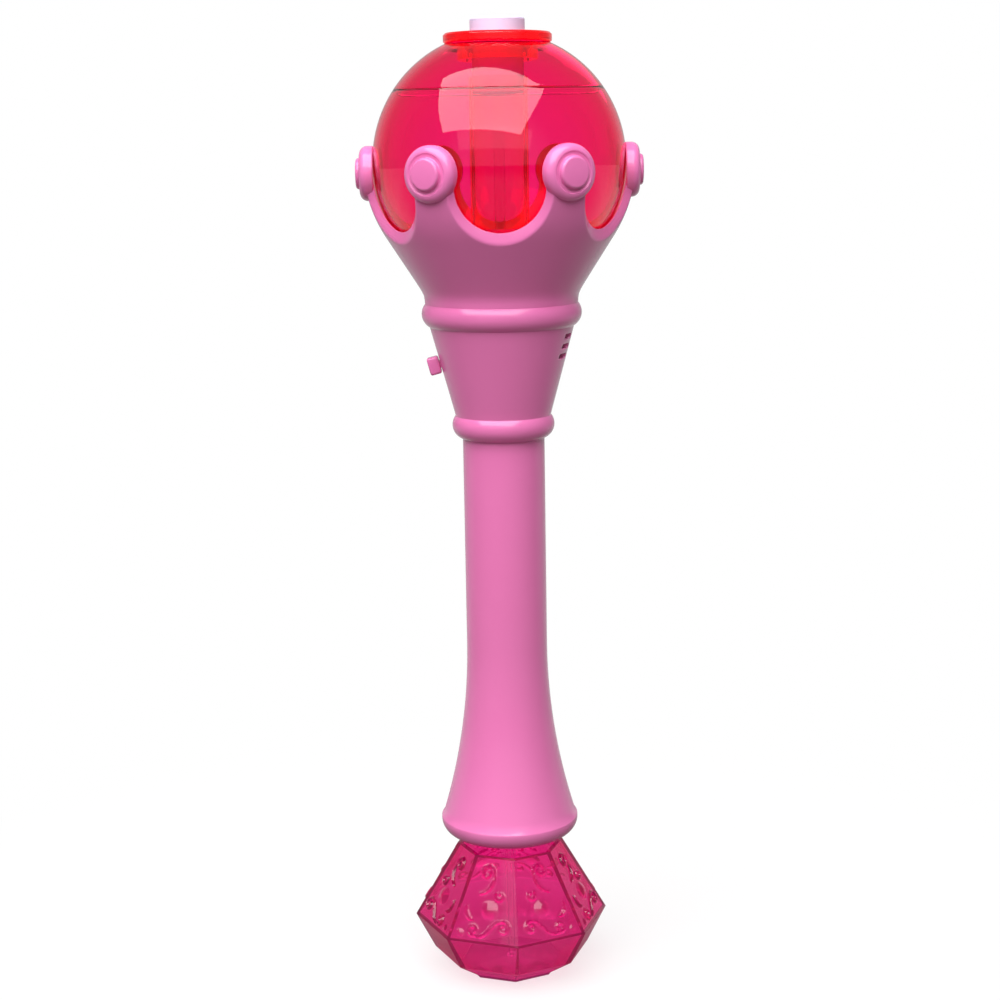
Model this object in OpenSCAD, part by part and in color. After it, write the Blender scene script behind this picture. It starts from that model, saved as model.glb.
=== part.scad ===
// Bubble wand: a battery wand with a gem bottle below and a crowned globe above.
// Millimetres, Z up along the wand, the origin under the middle of the bottle, the front facing -Y.

/* [Bottle] */
// Corner radius of the foot that the wand stands on
foot_r = 20; // [18:0.5:22]
// Height of the bevel round the foot
bevel_h = 7.5; // [6:0.5:9]
// Corner radius where the bevel ends
bevel_r = 28.5; // [26:0.5:31]
// Height of the widest line of the bottle
girdle_z = 22; // [19:0.5:25]
// Corner radius at the widest line
girdle_r = 37.5; // [34:0.5:41]
// Height where the sloping sides end
shoulder_z = 51; // [47:0.5:55]
// Corner radius where the sloping sides end
shoulder_r = 20.5; // [19:0.5:22]
// Wall of the bottle
bottle_wall = 1.8; // [1.2:0.1:2.4]
// Outside radius of the neck
neck_r = 13.5; // [13.2:0.1:14]
// Height of the neck above the shoulder
neck_h = 17; // [15:0.5:19]
// Rise of the neck's thread in one turn
thread_pitch = 4; // [3.6:0.1:4.4]
// Angle that the corners are turned from the front
bottle_turn = 3.5; // [0:0.5:22.5]

/* [Handle] */
// Open height between the bottle's shoulder and the handle's rim
handle_gap = 4.5; // [3.5:0.25:6]
// Radius of the rounding at the handle's rim
rim_round = 6; // [5:0.25:7]
// Radius that the flare would reach at the rim
flare_r = 26.2; // [25:0.2:28]
// Height of the flare
flare_h = 70; // [62:1:78]
// Radius of the grip
grip_r = 15.4; // [15.2:0.1:17]
// Height of the grip from the end of the battery cells to the middle of the lower bead
grip_h = 32; // [31:0.5:45]
// Wall of the two shells
shell_wall = 2; // [1.7:0.1:2.2]

/* [Cone and beads] */
// Widest radius of the lower bead
low_bead_r = 19.2; // [18.8:0.1:20.5]
// Section radius of the lower bead
low_bead_round = 5.4; // [5:0.1:5.8]
// Inset of the cone's foot from the widest line of the lower bead
cone_low_inset = 1.3; // [1:0.1:1.6]
// Inset of the cone's top from the widest line of the upper bead
cone_top_inset = 2.9; // [2.4:0.1:3.4]
// Height from the middle of the lower bead to the middle of the upper one
cone_h = 41.8; // [41:0.2:46]
// Widest radius of the upper bead
top_bead_r = 29.8; // [29.6:0.1:31]
// Section radius of the upper bead
top_bead_round = 5.6; // [5.3:0.1:6]

/* [Crown] */
// Inset of the crown's foot from the widest line of the upper bead
crown_inset = 1.4; // [1:0.1:2]
// Wall of the crown
crown_wall = 3; // [2.6:0.1:3.4]
// Open gap between the crown and the globe
crown_gap = 0.5; // [0.4:0.1:0.8]
// Height of the points' middles below the middle of the globe
pearl_drop = 3.5; // [1:0.5:6]
// Radius of the buttons on the points
pearl_r = 10; // [9:0.25:10.5]
// Radius of the hollows between the points
scallop_r = 16.8; // [15.5:0.2:17.4]
// Height of the hollows' middles below the middle of the globe
scallop_drop = 10.7; // [9:0.2:12]

/* [Globe] */
// Outside radius of the globe
globe_r = 46.5; // [46:0.1:48]
// Wall of the globe
globe_wall = 2; // [1.6:0.1:2.4]
// Height of the globe's floor above the foot of the crown
globe_rise = 12.95; // [10:0.25:18]
// Height of the globe's dome above the seam
dome_h = 16.5; // [10:0.5:24]

/* [Collar and nozzle] */
// Radius of the collar
collar_r = 19.8; // [19:0.1:21]
// Height of the collar above the globe
collar_h = 3.6; // [3:0.1:5]
// Outside radius of the nozzle
nozzle_r = 10; // [9.6:0.1:10.6]
// Height of the nozzle above the collar
nozzle_rise = 5.2; // [4:0.2:8]

/* [Switch and vents] */
// Height of the switch above the middle of the lower bead
knob_rise = 23; // [21.5:0.25:24]
// Length of the switch knob along the wand
knob_len = 6.6; // [6:0.1:7.2]
// Width of the switch knob
knob_w = 5.5; // [5:0.1:6.5]
// How far the knob stands out
knob_out = 4.6; // [3.5:0.1:6]
// How far the knob slides
knob_travel = 4; // [3:0.25:4.5]
// Height of one vent slot
vent_h = 1.7; // [1.4:0.1:2.4]
// Width of one vent slot
vent_w = 6.7; // [5:0.1:8]
// Width of the solid bar between the slots of the two shells
vent_bar = 10; // [8:0.5:12]
// Step between vent slots
vent_step = 3.7; // [3.4:0.1:4]

/* [Drive] */
// Radius of the fan
fan_r = 15; // [13.5:0.25:15.2]
// Radius of the motor can
motor_r = 10; // [9.5:0.1:10.1]
// Length of the motor can
motor_len = 25; // [23:0.5:25.5]
// Radius of the pump rollers
roller_r = 2.7; // [2.4:0.05:2.75]

/* [Battery] */
// Radius of one cell
cell_r = 7.1; // [6.9:0.05:7.25]
// Length of one cell with its cap
cell_len = 50.5; // [49:0.25:50.5]
// Width of the battery door
door_w = 16.3; // [15.5:0.1:17]
// Height of the battery door's lower edge above the foot of the cradle
door_lap = 3.6; // [3:0.1:6]

/* [Hidden] */
// Radii of the cone and the crown where they leave the beads
cone_low_r = low_bead_r - cone_low_inset;
cone_top_r = top_bead_r - cone_top_inset;
crown_base_r = top_bead_r - crown_inset;
// Half width of a box that holds the whole handle
past_handle = top_bead_r + flare_r;
$fn = 96;

// Clear gap between pieces that move past each other, and between pieces that only lie close
gap = 0.3;
// Radial play of shafts and pins, and of parts that plug into each other
fit = 0.04;
seat = 0.1;

PINK = [0.93, 0.46, 0.69];
RED = [0.95, 0.1, 0.25, 0.6];
WHITE = [0.9, 0.86, 0.93];
GREY = [0.6, 0.6, 0.62];
DARK = [0.2, 0.2, 0.22];

// Heights of the main stack, from the bottle up: the cells set the length of the grip
handle_z = shoulder_z + handle_gap;
ceiling_z = shoulder_z + neck_h + 2;
socket_top_z = ceiling_z + 2.5;
cradle_z = socket_top_z + 2.5;
cradle_wall = 2;
plate_h = 0.5;
spring_h = 5.5;
cells_z = cradle_z + cradle_wall + plate_h + spring_h;
cells_end_z = cells_z + 2 * cell_len;
low_bead_z = cells_end_z + grip_h;
top_bead_z = low_bead_z + cone_h;
low_bead_mid = low_bead_r - low_bead_round;
top_bead_mid = top_bead_r - top_bead_round;
low_bead_a0 = -acos((grip_r - low_bead_mid) / low_bead_round);
low_bead_a1 = acos((cone_low_r - low_bead_mid) / low_bead_round);
top_bead_a0 = -acos((cone_top_r - top_bead_mid) / top_bead_round);
top_bead_a1 = acos((crown_base_r - top_bead_mid) / top_bead_round);
cone_low_z = low_bead_z + low_bead_round * sin(low_bead_a1);
cone_top_z = top_bead_z + top_bead_round * sin(top_bead_a0);
crown_z = top_bead_z + top_bead_round * sin(top_bead_a1);
globe_floor_r = crown_base_r - 2.4;
globe_floor_z = crown_z + globe_rise;
globe_z = globe_floor_z + sqrt(pow(globe_r, 2) - pow(globe_floor_r, 2));

// The flare is an arc that starts upright at the grip and leans out to the rim
flare_z0 = handle_z + rim_round + flare_h;
flare_arc = (pow(flare_h, 2) + pow(flare_r - grip_r, 2)) / (2 * (flare_r - grip_r));
flare_tilt = asin(flare_h / flare_arc);
flare_end_r = grip_r + flare_arc * (1 - cos(flare_tilt));
rim_mid = [flare_end_r - rim_round * cos(flare_tilt), handle_z + rim_round];
rim_in_r = rim_mid[0] - 2;
bore_r = grip_r - shell_wall;

// The chamber in the lower bead holds the gears, and its ledge carries the pump
ledge_z = low_bead_z - 4.5;
chamber_r = low_bead_r - 3.6;
pump_r = bore_r - 0.2;
pump_z = ledge_z - 10.5;
pump_floor_t = 1.5;
flange_t = 1.5;
track_r = pump_r - 2.4;
plate_z = ledge_z + 8.5;
plate_t = 2;
motor_z = plate_z + plate_t;
motor_top_z = motor_z + motor_len;

// Gears: two equal pairs, so the last wheel turns on the motor's own line
tooth_module = 0.5;
pinion_teeth = 8;
wheel_teeth = 24;
gear_a = tooth_module * (pinion_teeth + wheel_teeth) / 2;
gear_backlash = 0.34;
rotor_z = pump_z + pump_floor_t + 0.5;
rotor_disc_t = 1;
rotor_disc_r = 6.8;
roller_h = 4.4;
roller_ring_r = 5.2;
wheel_h = 3;
rotor_wheel_z = rotor_z + 2 * rotor_disc_t + roller_h + 2 * gap;
counter_z = rotor_wheel_z + wheel_h + 1.5;
shaft_r = 1;
axle_r = 0.75;

// Fluid line: up the front of the handle, half round the pump, then up the back into the nozzle
tube_r = 2;
tube_bore = 1.05;
tube_y = 9;
band_in_r = roller_ring_r + roller_r + 0.2;
band_z0 = rotor_z + 0.7;
band_z1 = band_z0 + 5.5;

// Crown: a cup that leaves the upper bead upright and runs along a tangent into a sphere round the globe
crown_in_r = globe_r + crown_gap;
crown_out_r = crown_in_r + crown_wall;
crown_neck_r = crown_base_r - 2.4;
crown_neck_t = 2.5;
crown_lip_r = crown_neck_r + 0.9;
crown_lip_z = crown_z - 7;
crown_lip_t = 2;
deck_z = crown_z + 3.5;
deck_t = 2;
ledge_in_r = fan_r + 3.8;
pearl_z = globe_z - pearl_drop;
points_z = pearl_z - 6;
pearl_seat_x = crown_in_r + 0.3 * crown_wall;
pearl_top_r = crown_out_r + 2.7;

// Battery
cell_y = 3.5;
cradle_r = cell_r + 1.7;
door_z = cradle_z + door_lap;
door_len = cells_end_z + cradle_wall - door_z;
door_hinge_z = door_z + door_len + gap;
door_screw_z = door_z + 3.5;

// Globe openings, collar and duct
globe_top_r = collar_r - 0.9;
globe_top_z = globe_z + sqrt(pow(globe_r, 2) - pow(globe_top_r, 2));
seam_rise = globe_top_z - globe_z - dome_h;
collar_top_z = globe_top_z + collar_h;
collar_skirt_r = 14.8;
collar_skirt_t = 1.7;
nozzle_bore = nozzle_r - 1.8;
nozzle_seat = 4.4;
duct_r = 10.8;
duct_t = 1.2;
board_w = 6.2;
duct_z = deck_z + 17;
duct_top_z = globe_top_z - 12;
spigot_r = duct_r - duct_t - seat;
shroud_r = fan_r + 0.6;
shroud_t = 1.6;
fan_z = motor_top_z + 4.2;
fan_h = 8.3;
blade_w = 10;
tube_deck_y = shroud_r + shroud_t + tube_r + 1.1;
tube_duct_y = duct_r + tube_r + 0.5;
tube_barb_y = spigot_r + tube_r + 0.4;
barb_z = collar_top_z - 14.5;

// Switch, on the left-hand slope of the cone
cone_tilt = atan((cone_top_r - cone_low_r) / (cone_top_z - cone_low_z));
knob_z = low_bead_z + knob_rise;
knob_r = cone_radius(knob_z);
switch_d = 6;
vent_z = low_bead_z + 25.25;

// Screws that join the shells, as [x, z]
screw_r = 1.2;
screw_head_r = 2.1;
screw_head_y = 5;
screw_reach = 7;
boss_r = 3.2;
screw_spots = [
    [15, cradle_z + 3], [-15, cradle_z + 3],
    [9.5, cells_end_z + 13], [-9.5, cells_end_z + 13],
    [motor_r + 4, motor_z + 5.5], [-motor_r - 4, motor_z + 5.5],
];

thread_z = shoulder_z + 7;
thread_depth = 1.1;
thread_turns = 1.5;
socket_bore = neck_r + thread_depth + gap;

// Outside radius of the cone at height z
function cone_radius(z) =
    cone_low_r + (cone_top_r - cone_low_r) * (z - cone_low_z) / (cone_top_z - cone_low_z);

// Points on an arc about mid, from angle a0 to a1
function arc(mid, r, a0, a1, steps) =
    [for (i = [0 : steps]) let (a = a0 + (a1 - a0) * i / steps) [mid[0] + r * cos(a), mid[1] + r * sin(a)]];

// The flare's arc from tilt t0 to t1, moved in by inset
function flare(inset, t0, t1, steps) =
    [for (i = [0 : steps]) let (t = t0 + (t1 - t0) * i / steps)
        [grip_r + flare_arc * (1 - cos(t)) - inset, flare_z0 - flare_arc * sin(t)]];

// Angle at which the tangent from point p touches a circle of radius r about [0, globe_z]
function tangent_angle(p, r) =
    atan2(p[1] - globe_z, p[0]) + acos(r / norm([p[0], p[1] - globe_z]));

// One helical ridge: inner and outer radius, its width at each, and the height it starts at
function ridge_points(in_r, out_r, in_w, out_w, z0, steps) =
    [for (i = [0 : steps]) let (a = 360 * thread_turns * i / steps, z = z0 + thread_pitch * a / 360)
        for (p = [[in_r, -in_w / 2], [in_r, in_w / 2], [out_r, out_w / 2], [out_r, -out_w / 2]])
            [p[0] * cos(a), p[0] * sin(a), z + p[1]]];

// Triangles of a tube of rings with n points each, closed by flat ends
function ring_faces(n, rings) =
    concat(
        [for (i = [0 : rings - 2]) for (k = [0 : n - 1]) [i * n + k, (i + 1) * n + k, (i + 1) * n + (k + 1) % n]],
        [for (i = [0 : rings - 2]) for (k = [0 : n - 1]) [i * n + k, (i + 1) * n + (k + 1) % n, i * n + (k + 1) % n]],
        [[for (k = [0 : n - 1]) k]],
        [[for (k = [n - 1 : -1 : 0]) (rings - 1) * n + k]]
    );

// Tooth flank of an involute wheel: angle of the flank at radius r, from the tooth's middle
function flank(teeth, r) =
    let (
        pitch_r = tooth_module * teeth / 2,
        base_r = pitch_r * cos(20),
        a = acos(min(1, base_r / max(r, base_r))),
        inv = (tan(a) - a * PI / 180) * 180 / PI,
        inv_pitch = (tan(20) - 20 * PI / 180) * 180 / PI,
        half = (PI * tooth_module - gear_backlash) / 4 / pitch_r * 180 / PI
    )
    half + inv_pitch - inv;

// Outline of a wheel, tooth after tooth
function wheel_outline(teeth, tip) =
    let (
        pitch_r = tooth_module * teeth / 2,
        root_r = pitch_r - 1.15 * tooth_module,
        radii = [root_r, pitch_r * cos(20) + 0.02, pitch_r, pitch_r + tip * tooth_module]
    )
    [for (t = [0 : teeth - 1]) let (mid = 360 * t / teeth)
        for (i = [0 : 2 * len(radii) - 1])
            let (
                up = i < len(radii),
                r = radii[up ? i : 2 * len(radii) - 1 - i],
                a = mid + (up ? -1 : 1) * flank(teeth, r)
            )
            [r * cos(a), r * sin(a)]];

// A vertical tube or washer
module pipe(out_r, in_r, z0, z1) {
    translate([0, 0, z0])
        difference() {
            cylinder(r = out_r, h = z1 - z0);
            translate([0, 0, -1])
                cylinder(r = in_r, h = z1 - z0 + 2);
        }
}

// A straight rod between two heights at x, y
module rod(x, y, r, z0, z1) {
    translate([x, y, z0])
        cylinder(r = r, h = z1 - z0);
}

// A rod along Y between y0 and y1
module rod_y(x, z, r, y0, y1) {
    translate([x, y0, z])
        rotate([-90, 0, 0])
            cylinder(r = r, h = y1 - y0);
}

// A rod that points outward at the given angle round the wand
module spoke(angle, z, r, r0, r1) {
    rotate([0, 0, angle])
        translate([r0, 0, z])
            rotate([0, 90, 0])
                cylinder(r = r, h = r1 - r0);
}

// A solid of eight-sided rings, each [corner radius, height]
module gem(rings) {
    rotate([0, 0, bottle_turn])
        polyhedron(
            points = [for (g = rings) for (k = [0 : 7]) [g[0] * cos(45 * k), g[0] * sin(45 * k), g[1]]],
            faces = ring_faces(8, len(rings)),
            convexity = 4
        );
}

// A toothed wheel
module wheel(teeth, tip, z, h, turn) {
    translate([0, 0, z])
        rotate([0, 0, turn])
            linear_extrude(h)
                polygon(wheel_outline(teeth, tip));
}

module bottle() {
    color([0.9, 0.15, 0.5, 0.5])
        difference() {
            union() {
                rotate([0, 0, bottle_turn])
                    cylinder(r = foot_r, h = 0.6, $fn = 8);
                gem([[foot_r, 0.6], [bevel_r, bevel_h], [girdle_r, girdle_z], [shoulder_r, shoulder_z]]);
                rod(0, 0, neck_r, shoulder_z - 1, shoulder_z + neck_h);
                polyhedron(
                    points = ridge_points(neck_r - 0.5, neck_r + thread_depth, 2, 1, thread_z, 24),
                    faces = ring_faces(4, 25)
                );
            }
            gem([
                [foot_r - bottle_wall / 2, bottle_wall],
                [bevel_r - 1.2 * bottle_wall, bevel_h + bottle_wall / 4],
                [girdle_r - 1.25 * bottle_wall, girdle_z],
                [shoulder_r - 1.2 * bottle_wall, shoulder_z - bottle_wall],
            ]);
            rod(0, 0, neck_r - 2.2, shoulder_z - bottle_wall - 1, shoulder_z + neck_h + 1);
        }
}

module bottle_gasket() {
    color(DARK)
        pipe(neck_r - 0.2, neck_r - 2.2, shoulder_z + neck_h, shoulder_z + neck_h + 2);
}

module bottle_socket() {
    color(PINK) {
        pipe(rim_in_r - gap, socket_bore, handle_z + 0.6, ceiling_z);
        pipe(rim_mid[0] + 0.5, socket_bore, handle_z + shell_wall + seat, handle_z + shell_wall + 2);
        polyhedron(
            points = ridge_points(
                socket_bore - thread_depth, socket_bore + 0.6, 1, 2, thread_z + thread_pitch / 2, 24),
            faces = ring_faces(4, 25)
        );
    }
}

// Plate that closes the socket and holds the tubes
module socket_plate() {
    color(PINK)
        difference() {
            rod(0, 0, rim_in_r - gap, ceiling_z, socket_top_z);
            rod(0, -tube_y, tube_r + fit, ceiling_z - 1, socket_top_z + 1);
        }
}

module dip_tube() {
    color(WHITE)
        translate([0, -tube_y, 0])
            pipe(tube_r, tube_bore, bottle_wall + 4, socket_top_z - 1.3);
}

module suction_tube() {
    color(WHITE)
        translate([0, -tube_y, 0])
            pipe(tube_r, tube_bore, socket_top_z - 1.2, band_z0);
}

// Outside outline of the handle, beads and cone, from the rim up
function shell_outer() =
    concat(
        arc(rim_mid, rim_round, -90, flare_tilt, 10),
        flare(0, flare_tilt, 0, 16),
        arc([low_bead_mid, low_bead_z], low_bead_round, low_bead_a0, low_bead_a1, 12),
        arc([top_bead_mid, top_bead_z], top_bead_round, top_bead_a0, top_bead_a1, 12)
    );

// Inside outline, from the crown's neck down
function shell_inner() =
    concat(
        [
            [crown_neck_r + seat, crown_z],
            [crown_neck_r + seat, crown_lip_z + crown_lip_t + seat],
            [crown_lip_r + seat, crown_lip_z + crown_lip_t + seat],
            [crown_lip_r + seat, crown_lip_z - seat],
            [cone_top_r - shell_wall, crown_lip_z - seat],
            [cone_top_r - shell_wall, cone_top_z],
            [cone_low_r - shell_wall, cone_low_z],
            [chamber_r, cone_low_z - 1],
            [chamber_r, ledge_z],
            [bore_r, ledge_z],
        ],
        flare(shell_wall, 0, flare_tilt, 16),
        arc(rim_mid, rim_round - shell_wall, flare_tilt - 8, -90, 8),
        [[rim_in_r, handle_z + shell_wall], [rim_in_r, handle_z]]
    );

// The whole outside as a solid, to trim what is built inside it
module shell_envelope() {
    rotate_extrude()
        polygon(concat([[0, handle_z]], shell_outer(), [[0, crown_z]]));
}

// Half of the shells, turned through 180 degrees from start
module shell_half(start) {
    rotate_extrude(angle = 180, start = start)
        polygon(concat(shell_outer(), shell_inner()));
}

// What both shells leave open: the switch slot and the vents
module shell_openings() {
    on_switch()
        translate([-shell_wall - 3, -1.9, -1.5 - gap])
            cube([shell_wall + 6, 3.8, 3 + knob_travel + 2 * gap]);
    for (i = [0 : 2], side = [0, 1])
        mirror([0, side, 0])
            translate([chamber_r, vent_bar / 2, vent_z + i * vent_step])
                cube([top_bead_r, vent_w, vent_h]);
}

// Ribs that hold the switch body
module switch_ribs() {
    on_switch()
        for (z = [-5.6, knob_travel + 4.2])
            translate([-shell_wall - switch_d, -4.5, z])
                cube([shell_wall + switch_d - 1, 9, 1.4]);
}

// Places children on the slope of the cone: X outward, Z up the slope
module on_switch() {
    rotate([0, 0, 180])
        translate([knob_r, 0, knob_z])
            rotate([0, cone_tilt, 0])
                children();
}

module front_shell() {
    color(PINK)
        difference() {
            union() {
                shell_half(180);
                intersection() {
                    shell_envelope();
                    translate([-past_handle, -past_handle, 0])
                        cube([2 * past_handle, past_handle, crown_lip_z]);
                    union() {
                        for (s = screw_spots)
                            rod_y(s[0], s[1], boss_r, -past_handle, 1);
                        for (z = [cells_z + 8, cells_z + cell_len, cells_end_z - 10])
                            translate([-cradle_r - 1, -30, z])
                                cube([2 * cradle_r + 2, 30 + 1, 1.6]);
                        switch_ribs();
                    }
                }
            }
            shell_openings();
            for (s = screw_spots)
                rod_y(s[0], s[1], screw_r + fit, -screw_reach - 1, 1);
            rod(0, cell_y, cradle_r + seat, cradle_z, cells_end_z + 4);
            rod(0, -tube_y, tube_r + seat, cradle_z, cells_end_z + 4);
        }
}

module rear_shell() {
    color(PINK)
        difference() {
            union() {
                shell_half(0);
                intersection() {
                    shell_envelope();
                    translate([-past_handle, 0, 0])
                        cube([2 * past_handle, past_handle, crown_lip_z]);
                    union() {
                        for (s = screw_spots)
                            rod_y(s[0], s[1], boss_r, -1, past_handle);
                        switch_ribs();
                    }
                }
            }
            shell_openings();
            for (s = screw_spots) {
                rod_y(s[0], s[1], screw_r + 0.15, -1, past_handle);
                rod_y(s[0], s[1], screw_head_r + 0.2, screw_head_y, past_handle);
            }
            translate([-door_w / 2 - gap, 2, door_z - gap])
                cube([door_w + 2 * gap, 40, door_len + 2 * gap]);
        }
}

module shell_screws() {
    color(GREY)
        for (s = screw_spots)
            difference() {
                union() {
                    rod_y(s[0], s[1], screw_r, -screw_reach, screw_head_y + 0.1);
                    rod_y(s[0], s[1], screw_head_r, screw_head_y, screw_head_y + 1.8);
                }
                cross_slot(s[0], screw_head_y + 1, s[1]);
            }
}

// A cross recess that opens towards +Y
module cross_slot(x, y, z) {
    for (a = [0, 90])
        translate([x, y, z])
            rotate([0, a, 0])
                translate([-1.3, 0, -0.3])
                    cube([2.6, 2, 0.6]);
}

module battery_cradle() {
    color(WHITE)
        difference() {
            intersection() {
                union() {
                    translate([0, cell_y, 0])
                        pipe(cradle_r, cell_r + 0.4, cradle_z + 1, cells_end_z + 2);
                    rod(0, cell_y, cradle_r, cradle_z, cradle_z + cradle_wall);
                    rod(0, cell_y, cradle_r, cells_end_z + plate_h, cells_end_z + plate_h + cradle_wall);
                    translate([-4, cell_y + cell_r + 0.6, cradle_z])
                        cube([8, 30, door_screw_z + 3.5 - cradle_z]);
                }
                union() {
                    translate([-20, -20, cradle_z])
                        cube([40, 20 + cell_y + 1, 200]);
                    translate([-4, 0, cradle_z])
                        cube([8, sqrt(pow(door_inner_y(), 2) - 16) - gap, door_screw_z + 3.5 - cradle_z]);
                    translate([-20, -20, cradle_z])
                        cube([40, 29, cradle_wall]);
                    translate([-20, -20, cells_end_z + plate_h])
                        cube([40, 29, cradle_wall]);
                }
            }
            rod_y(0, door_screw_z, screw_r + 0.4, cell_y + cell_r, 40);
        }
}

// Y of the door's inner face at its screw
function door_inner_y() =
    grip_r + flare_arc - sqrt(pow(flare_arc, 2) - pow(flare_z0 - door_screw_z - 3.5, 2)) - shell_wall;

module battery_cells() {
    color([0.85, 0.65, 0.2])
        for (i = [0, 1])
            translate([0, cell_y, cells_z + i * cell_len]) {
                cylinder(r = cell_r, h = cell_len - 1.3);
                cylinder(r = 2.7, h = cell_len - fit);
            }
}

module contact_plates() {
    color(GREY)
        for (z = [cradle_z + cradle_wall, cells_end_z])
            translate([-5, cell_y - 5, z])
                cube([10, 10, plate_h]);
}

module contact_spring() {
    turns = 3.5;
    steps = 42;
    wire = 0.4;
    z0 = cradle_z + cradle_wall + plate_h + wire;
    color(GREY)
        translate([0, cell_y, 0])
            polyhedron(
                points = [for (i = [0 : steps])
                    let (a = 360 * turns * i / steps, r = 4.8 - 1.6 * i / steps)
                    for (k = [0 : 5])
                        let (w = r + wire * cos(60 * k))
                        [w * cos(a), w * sin(a),
                            z0 + (spring_h - 2 * wire) * i / steps - wire * sin(60 * k)]],
                faces = ring_faces(6, steps + 1)
            );
}

module battery_door() {
    tongue_y = cell_y + cell_r + 0.4;
    color(PINK)
        difference() {
            union() {
                intersection() {
                    shell_half(0);
                    translate([-door_w / 2, 2, door_z])
                        cube([door_w, 40, door_len]);
                }
                translate([-4.5, tongue_y, door_z + door_len - 5])
                    cube([9, bore_r + 0.8 - tongue_y, 5]);
                translate([-4.5, tongue_y, door_z + door_len - 1])
                    cube([9, 1.3, 3.8]);
            }
            rod_y(0, door_screw_z, screw_r + 0.15, 5, 40);
            rod_y(0, door_screw_z, screw_head_r + 0.2, door_inner_y() + 0.9, 40);
        }
}

module door_screw() {
    head_y = door_inner_y() + 0.9;
    color(GREY)
        difference() {
            union() {
                rod_y(0, door_screw_z, screw_r, cell_y + cell_r + 2, head_y + 0.1);
                rod_y(0, door_screw_z, screw_head_r, head_y, head_y + 1.1);
            }
            cross_slot(0, head_y + 0.5, door_screw_z);
        }
}

module pump_body() {
    color(WHITE)
        difference() {
            union() {
                rod(0, 0, pump_r, pump_z, ledge_z + flange_t);
                rod(0, 0, chamber_r - seat, ledge_z + seat, ledge_z + flange_t);
                for (a = [125, 180, 235])
                    rotate([0, 0, a])
                        rod(chamber_r - 2.4, 0, 1.8, ledge_z, plate_z);
            }
            rod(0, 0, track_r, pump_z + pump_floor_t, ledge_z + flange_t + 1);
            rod(0, 0, shaft_r + fit, pump_z - 1, ledge_z);
            rod(0, -tube_y, tube_r + seat, pump_z - 1, band_z0 + 0.3);
            rod(0, tube_y, tube_r + 0.5, band_z1 - 0.2, ledge_z + flange_t + 1);
        }
}

module pump_axle() {
    color(GREY)
        rod(0, 0, shaft_r, pump_z, rotor_wheel_z + wheel_h + 0.3);
}

module pump_rotor() {
    color([0.95, 0.95, 0.9])
        difference() {
            union() {
                rod(0, 0, rotor_disc_r, rotor_z, rotor_z + rotor_disc_t);
                rod(0, 0, 2.2, rotor_z, rotor_wheel_z);
                rod(0, 0, rotor_disc_r, rotor_wheel_z - rotor_disc_t, rotor_wheel_z);
                wheel(wheel_teeth, 0.5, rotor_wheel_z - 0.1, wheel_h + 0.1, 0);
            }
            rod(0, 0, shaft_r + fit, rotor_z - 1, rotor_wheel_z + wheel_h + 1);
            at_rollers()
                rod(0, 0, axle_r + fit, rotor_z - 1, rotor_wheel_z - 0.1);
        }
}

// Places children on the three roller pins
module at_rollers() {
    for (a = [60, 180, 300])
        at_roller(a)
            children();
}

module at_roller(angle) {
    rotate([0, 0, angle])
        translate([roller_ring_r, 0, 0])
            children();
}

module roller_pins() {
    color(GREY)
        at_rollers()
            rod(0, 0, axle_r, rotor_z, rotor_wheel_z - 0.2);
}

module pump_roller(angle) {
    color([0.3, 0.3, 0.35])
        at_roller(angle)
            pipe(roller_r, axle_r + fit, rotor_z + rotor_disc_t + gap, rotor_z + rotor_disc_t + gap + roller_h);
}

module pump_roller_a() {
    pump_roller(60);
}

module pump_roller_b() {
    pump_roller(180);
}

module pump_roller_c() {
    pump_roller(300);
}

module pump_tube() {
    color(WHITE)
        rotate_extrude(angle = 180, start = 270)
            polygon([
                [band_in_r, band_z0], [track_r - seat, band_z0],
                [track_r - seat, band_z1], [band_in_r, band_z1],
            ]);
}

// The delivery line's middle, as [y, z]
delivery_route = [
    [tube_y, band_z1],
    [tube_y, ledge_z + 1],
    [tube_y + 0.5, ledge_z + 4],
    [tube_y + 1.8, plate_z - 1],
    [tube_y + 2.8, plate_z + plate_t + 1],
    [motor_r + tube_r + 0.9, motor_z + 6],
    [motor_r + tube_r + 0.9, motor_top_z - 11],
    [motor_r + tube_r + 2.2, motor_top_z - 7.5],
    [tube_deck_y - 3, motor_top_z - 3.5],
    [tube_deck_y - 0.7, motor_top_z + 0.5],
    [tube_deck_y, motor_top_z + 5],
    [tube_deck_y, deck_z + 3],
    [tube_deck_y - 0.6, deck_z + 8],
    [tube_deck_y - 2.4, deck_z + 13],
    [tube_duct_y + 1.8, deck_z + 19],
    [tube_duct_y + 0.4, deck_z + 24],
    [tube_duct_y, deck_z + 30],
    [tube_duct_y, duct_top_z - 9],
    [tube_duct_y - 0.3, duct_top_z - 5],
    [tube_barb_y + 0.5, duct_top_z - 0.5],
    [tube_barb_y, duct_top_z + 2],
    [tube_barb_y, barb_z + 4.7],
];

// A ring of a line that runs in the plane X = 0
function route_ring(route, i, r, n) =
    let (
        a = route[max(i - 1, 0)],
        b = route[min(i + 1, len(route) - 1)],
        t = (i == 0 || i == len(route) - 1) ? [0, 1] : (b - a) / norm(b - a)
    )
    [for (k = [0 : n - 1])
        [r * cos(360 * k / n), route[i][0] + r * sin(360 * k / n) * t[1], route[i][1] - r * sin(360 * k / n) * t[0]]];

module delivery_tube() {
    n = 10;
    rings = len(delivery_route);
    color(WHITE)
        difference() {
            polyhedron(
                points = [for (i = [0 : rings - 1]) each route_ring(delivery_route, i, tube_r, n)],
                faces = ring_faces(n, rings)
            );
            rod(0, tube_barb_y, tube_bore, barb_z - 0.2, barb_z + 6);
        }
}

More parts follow.
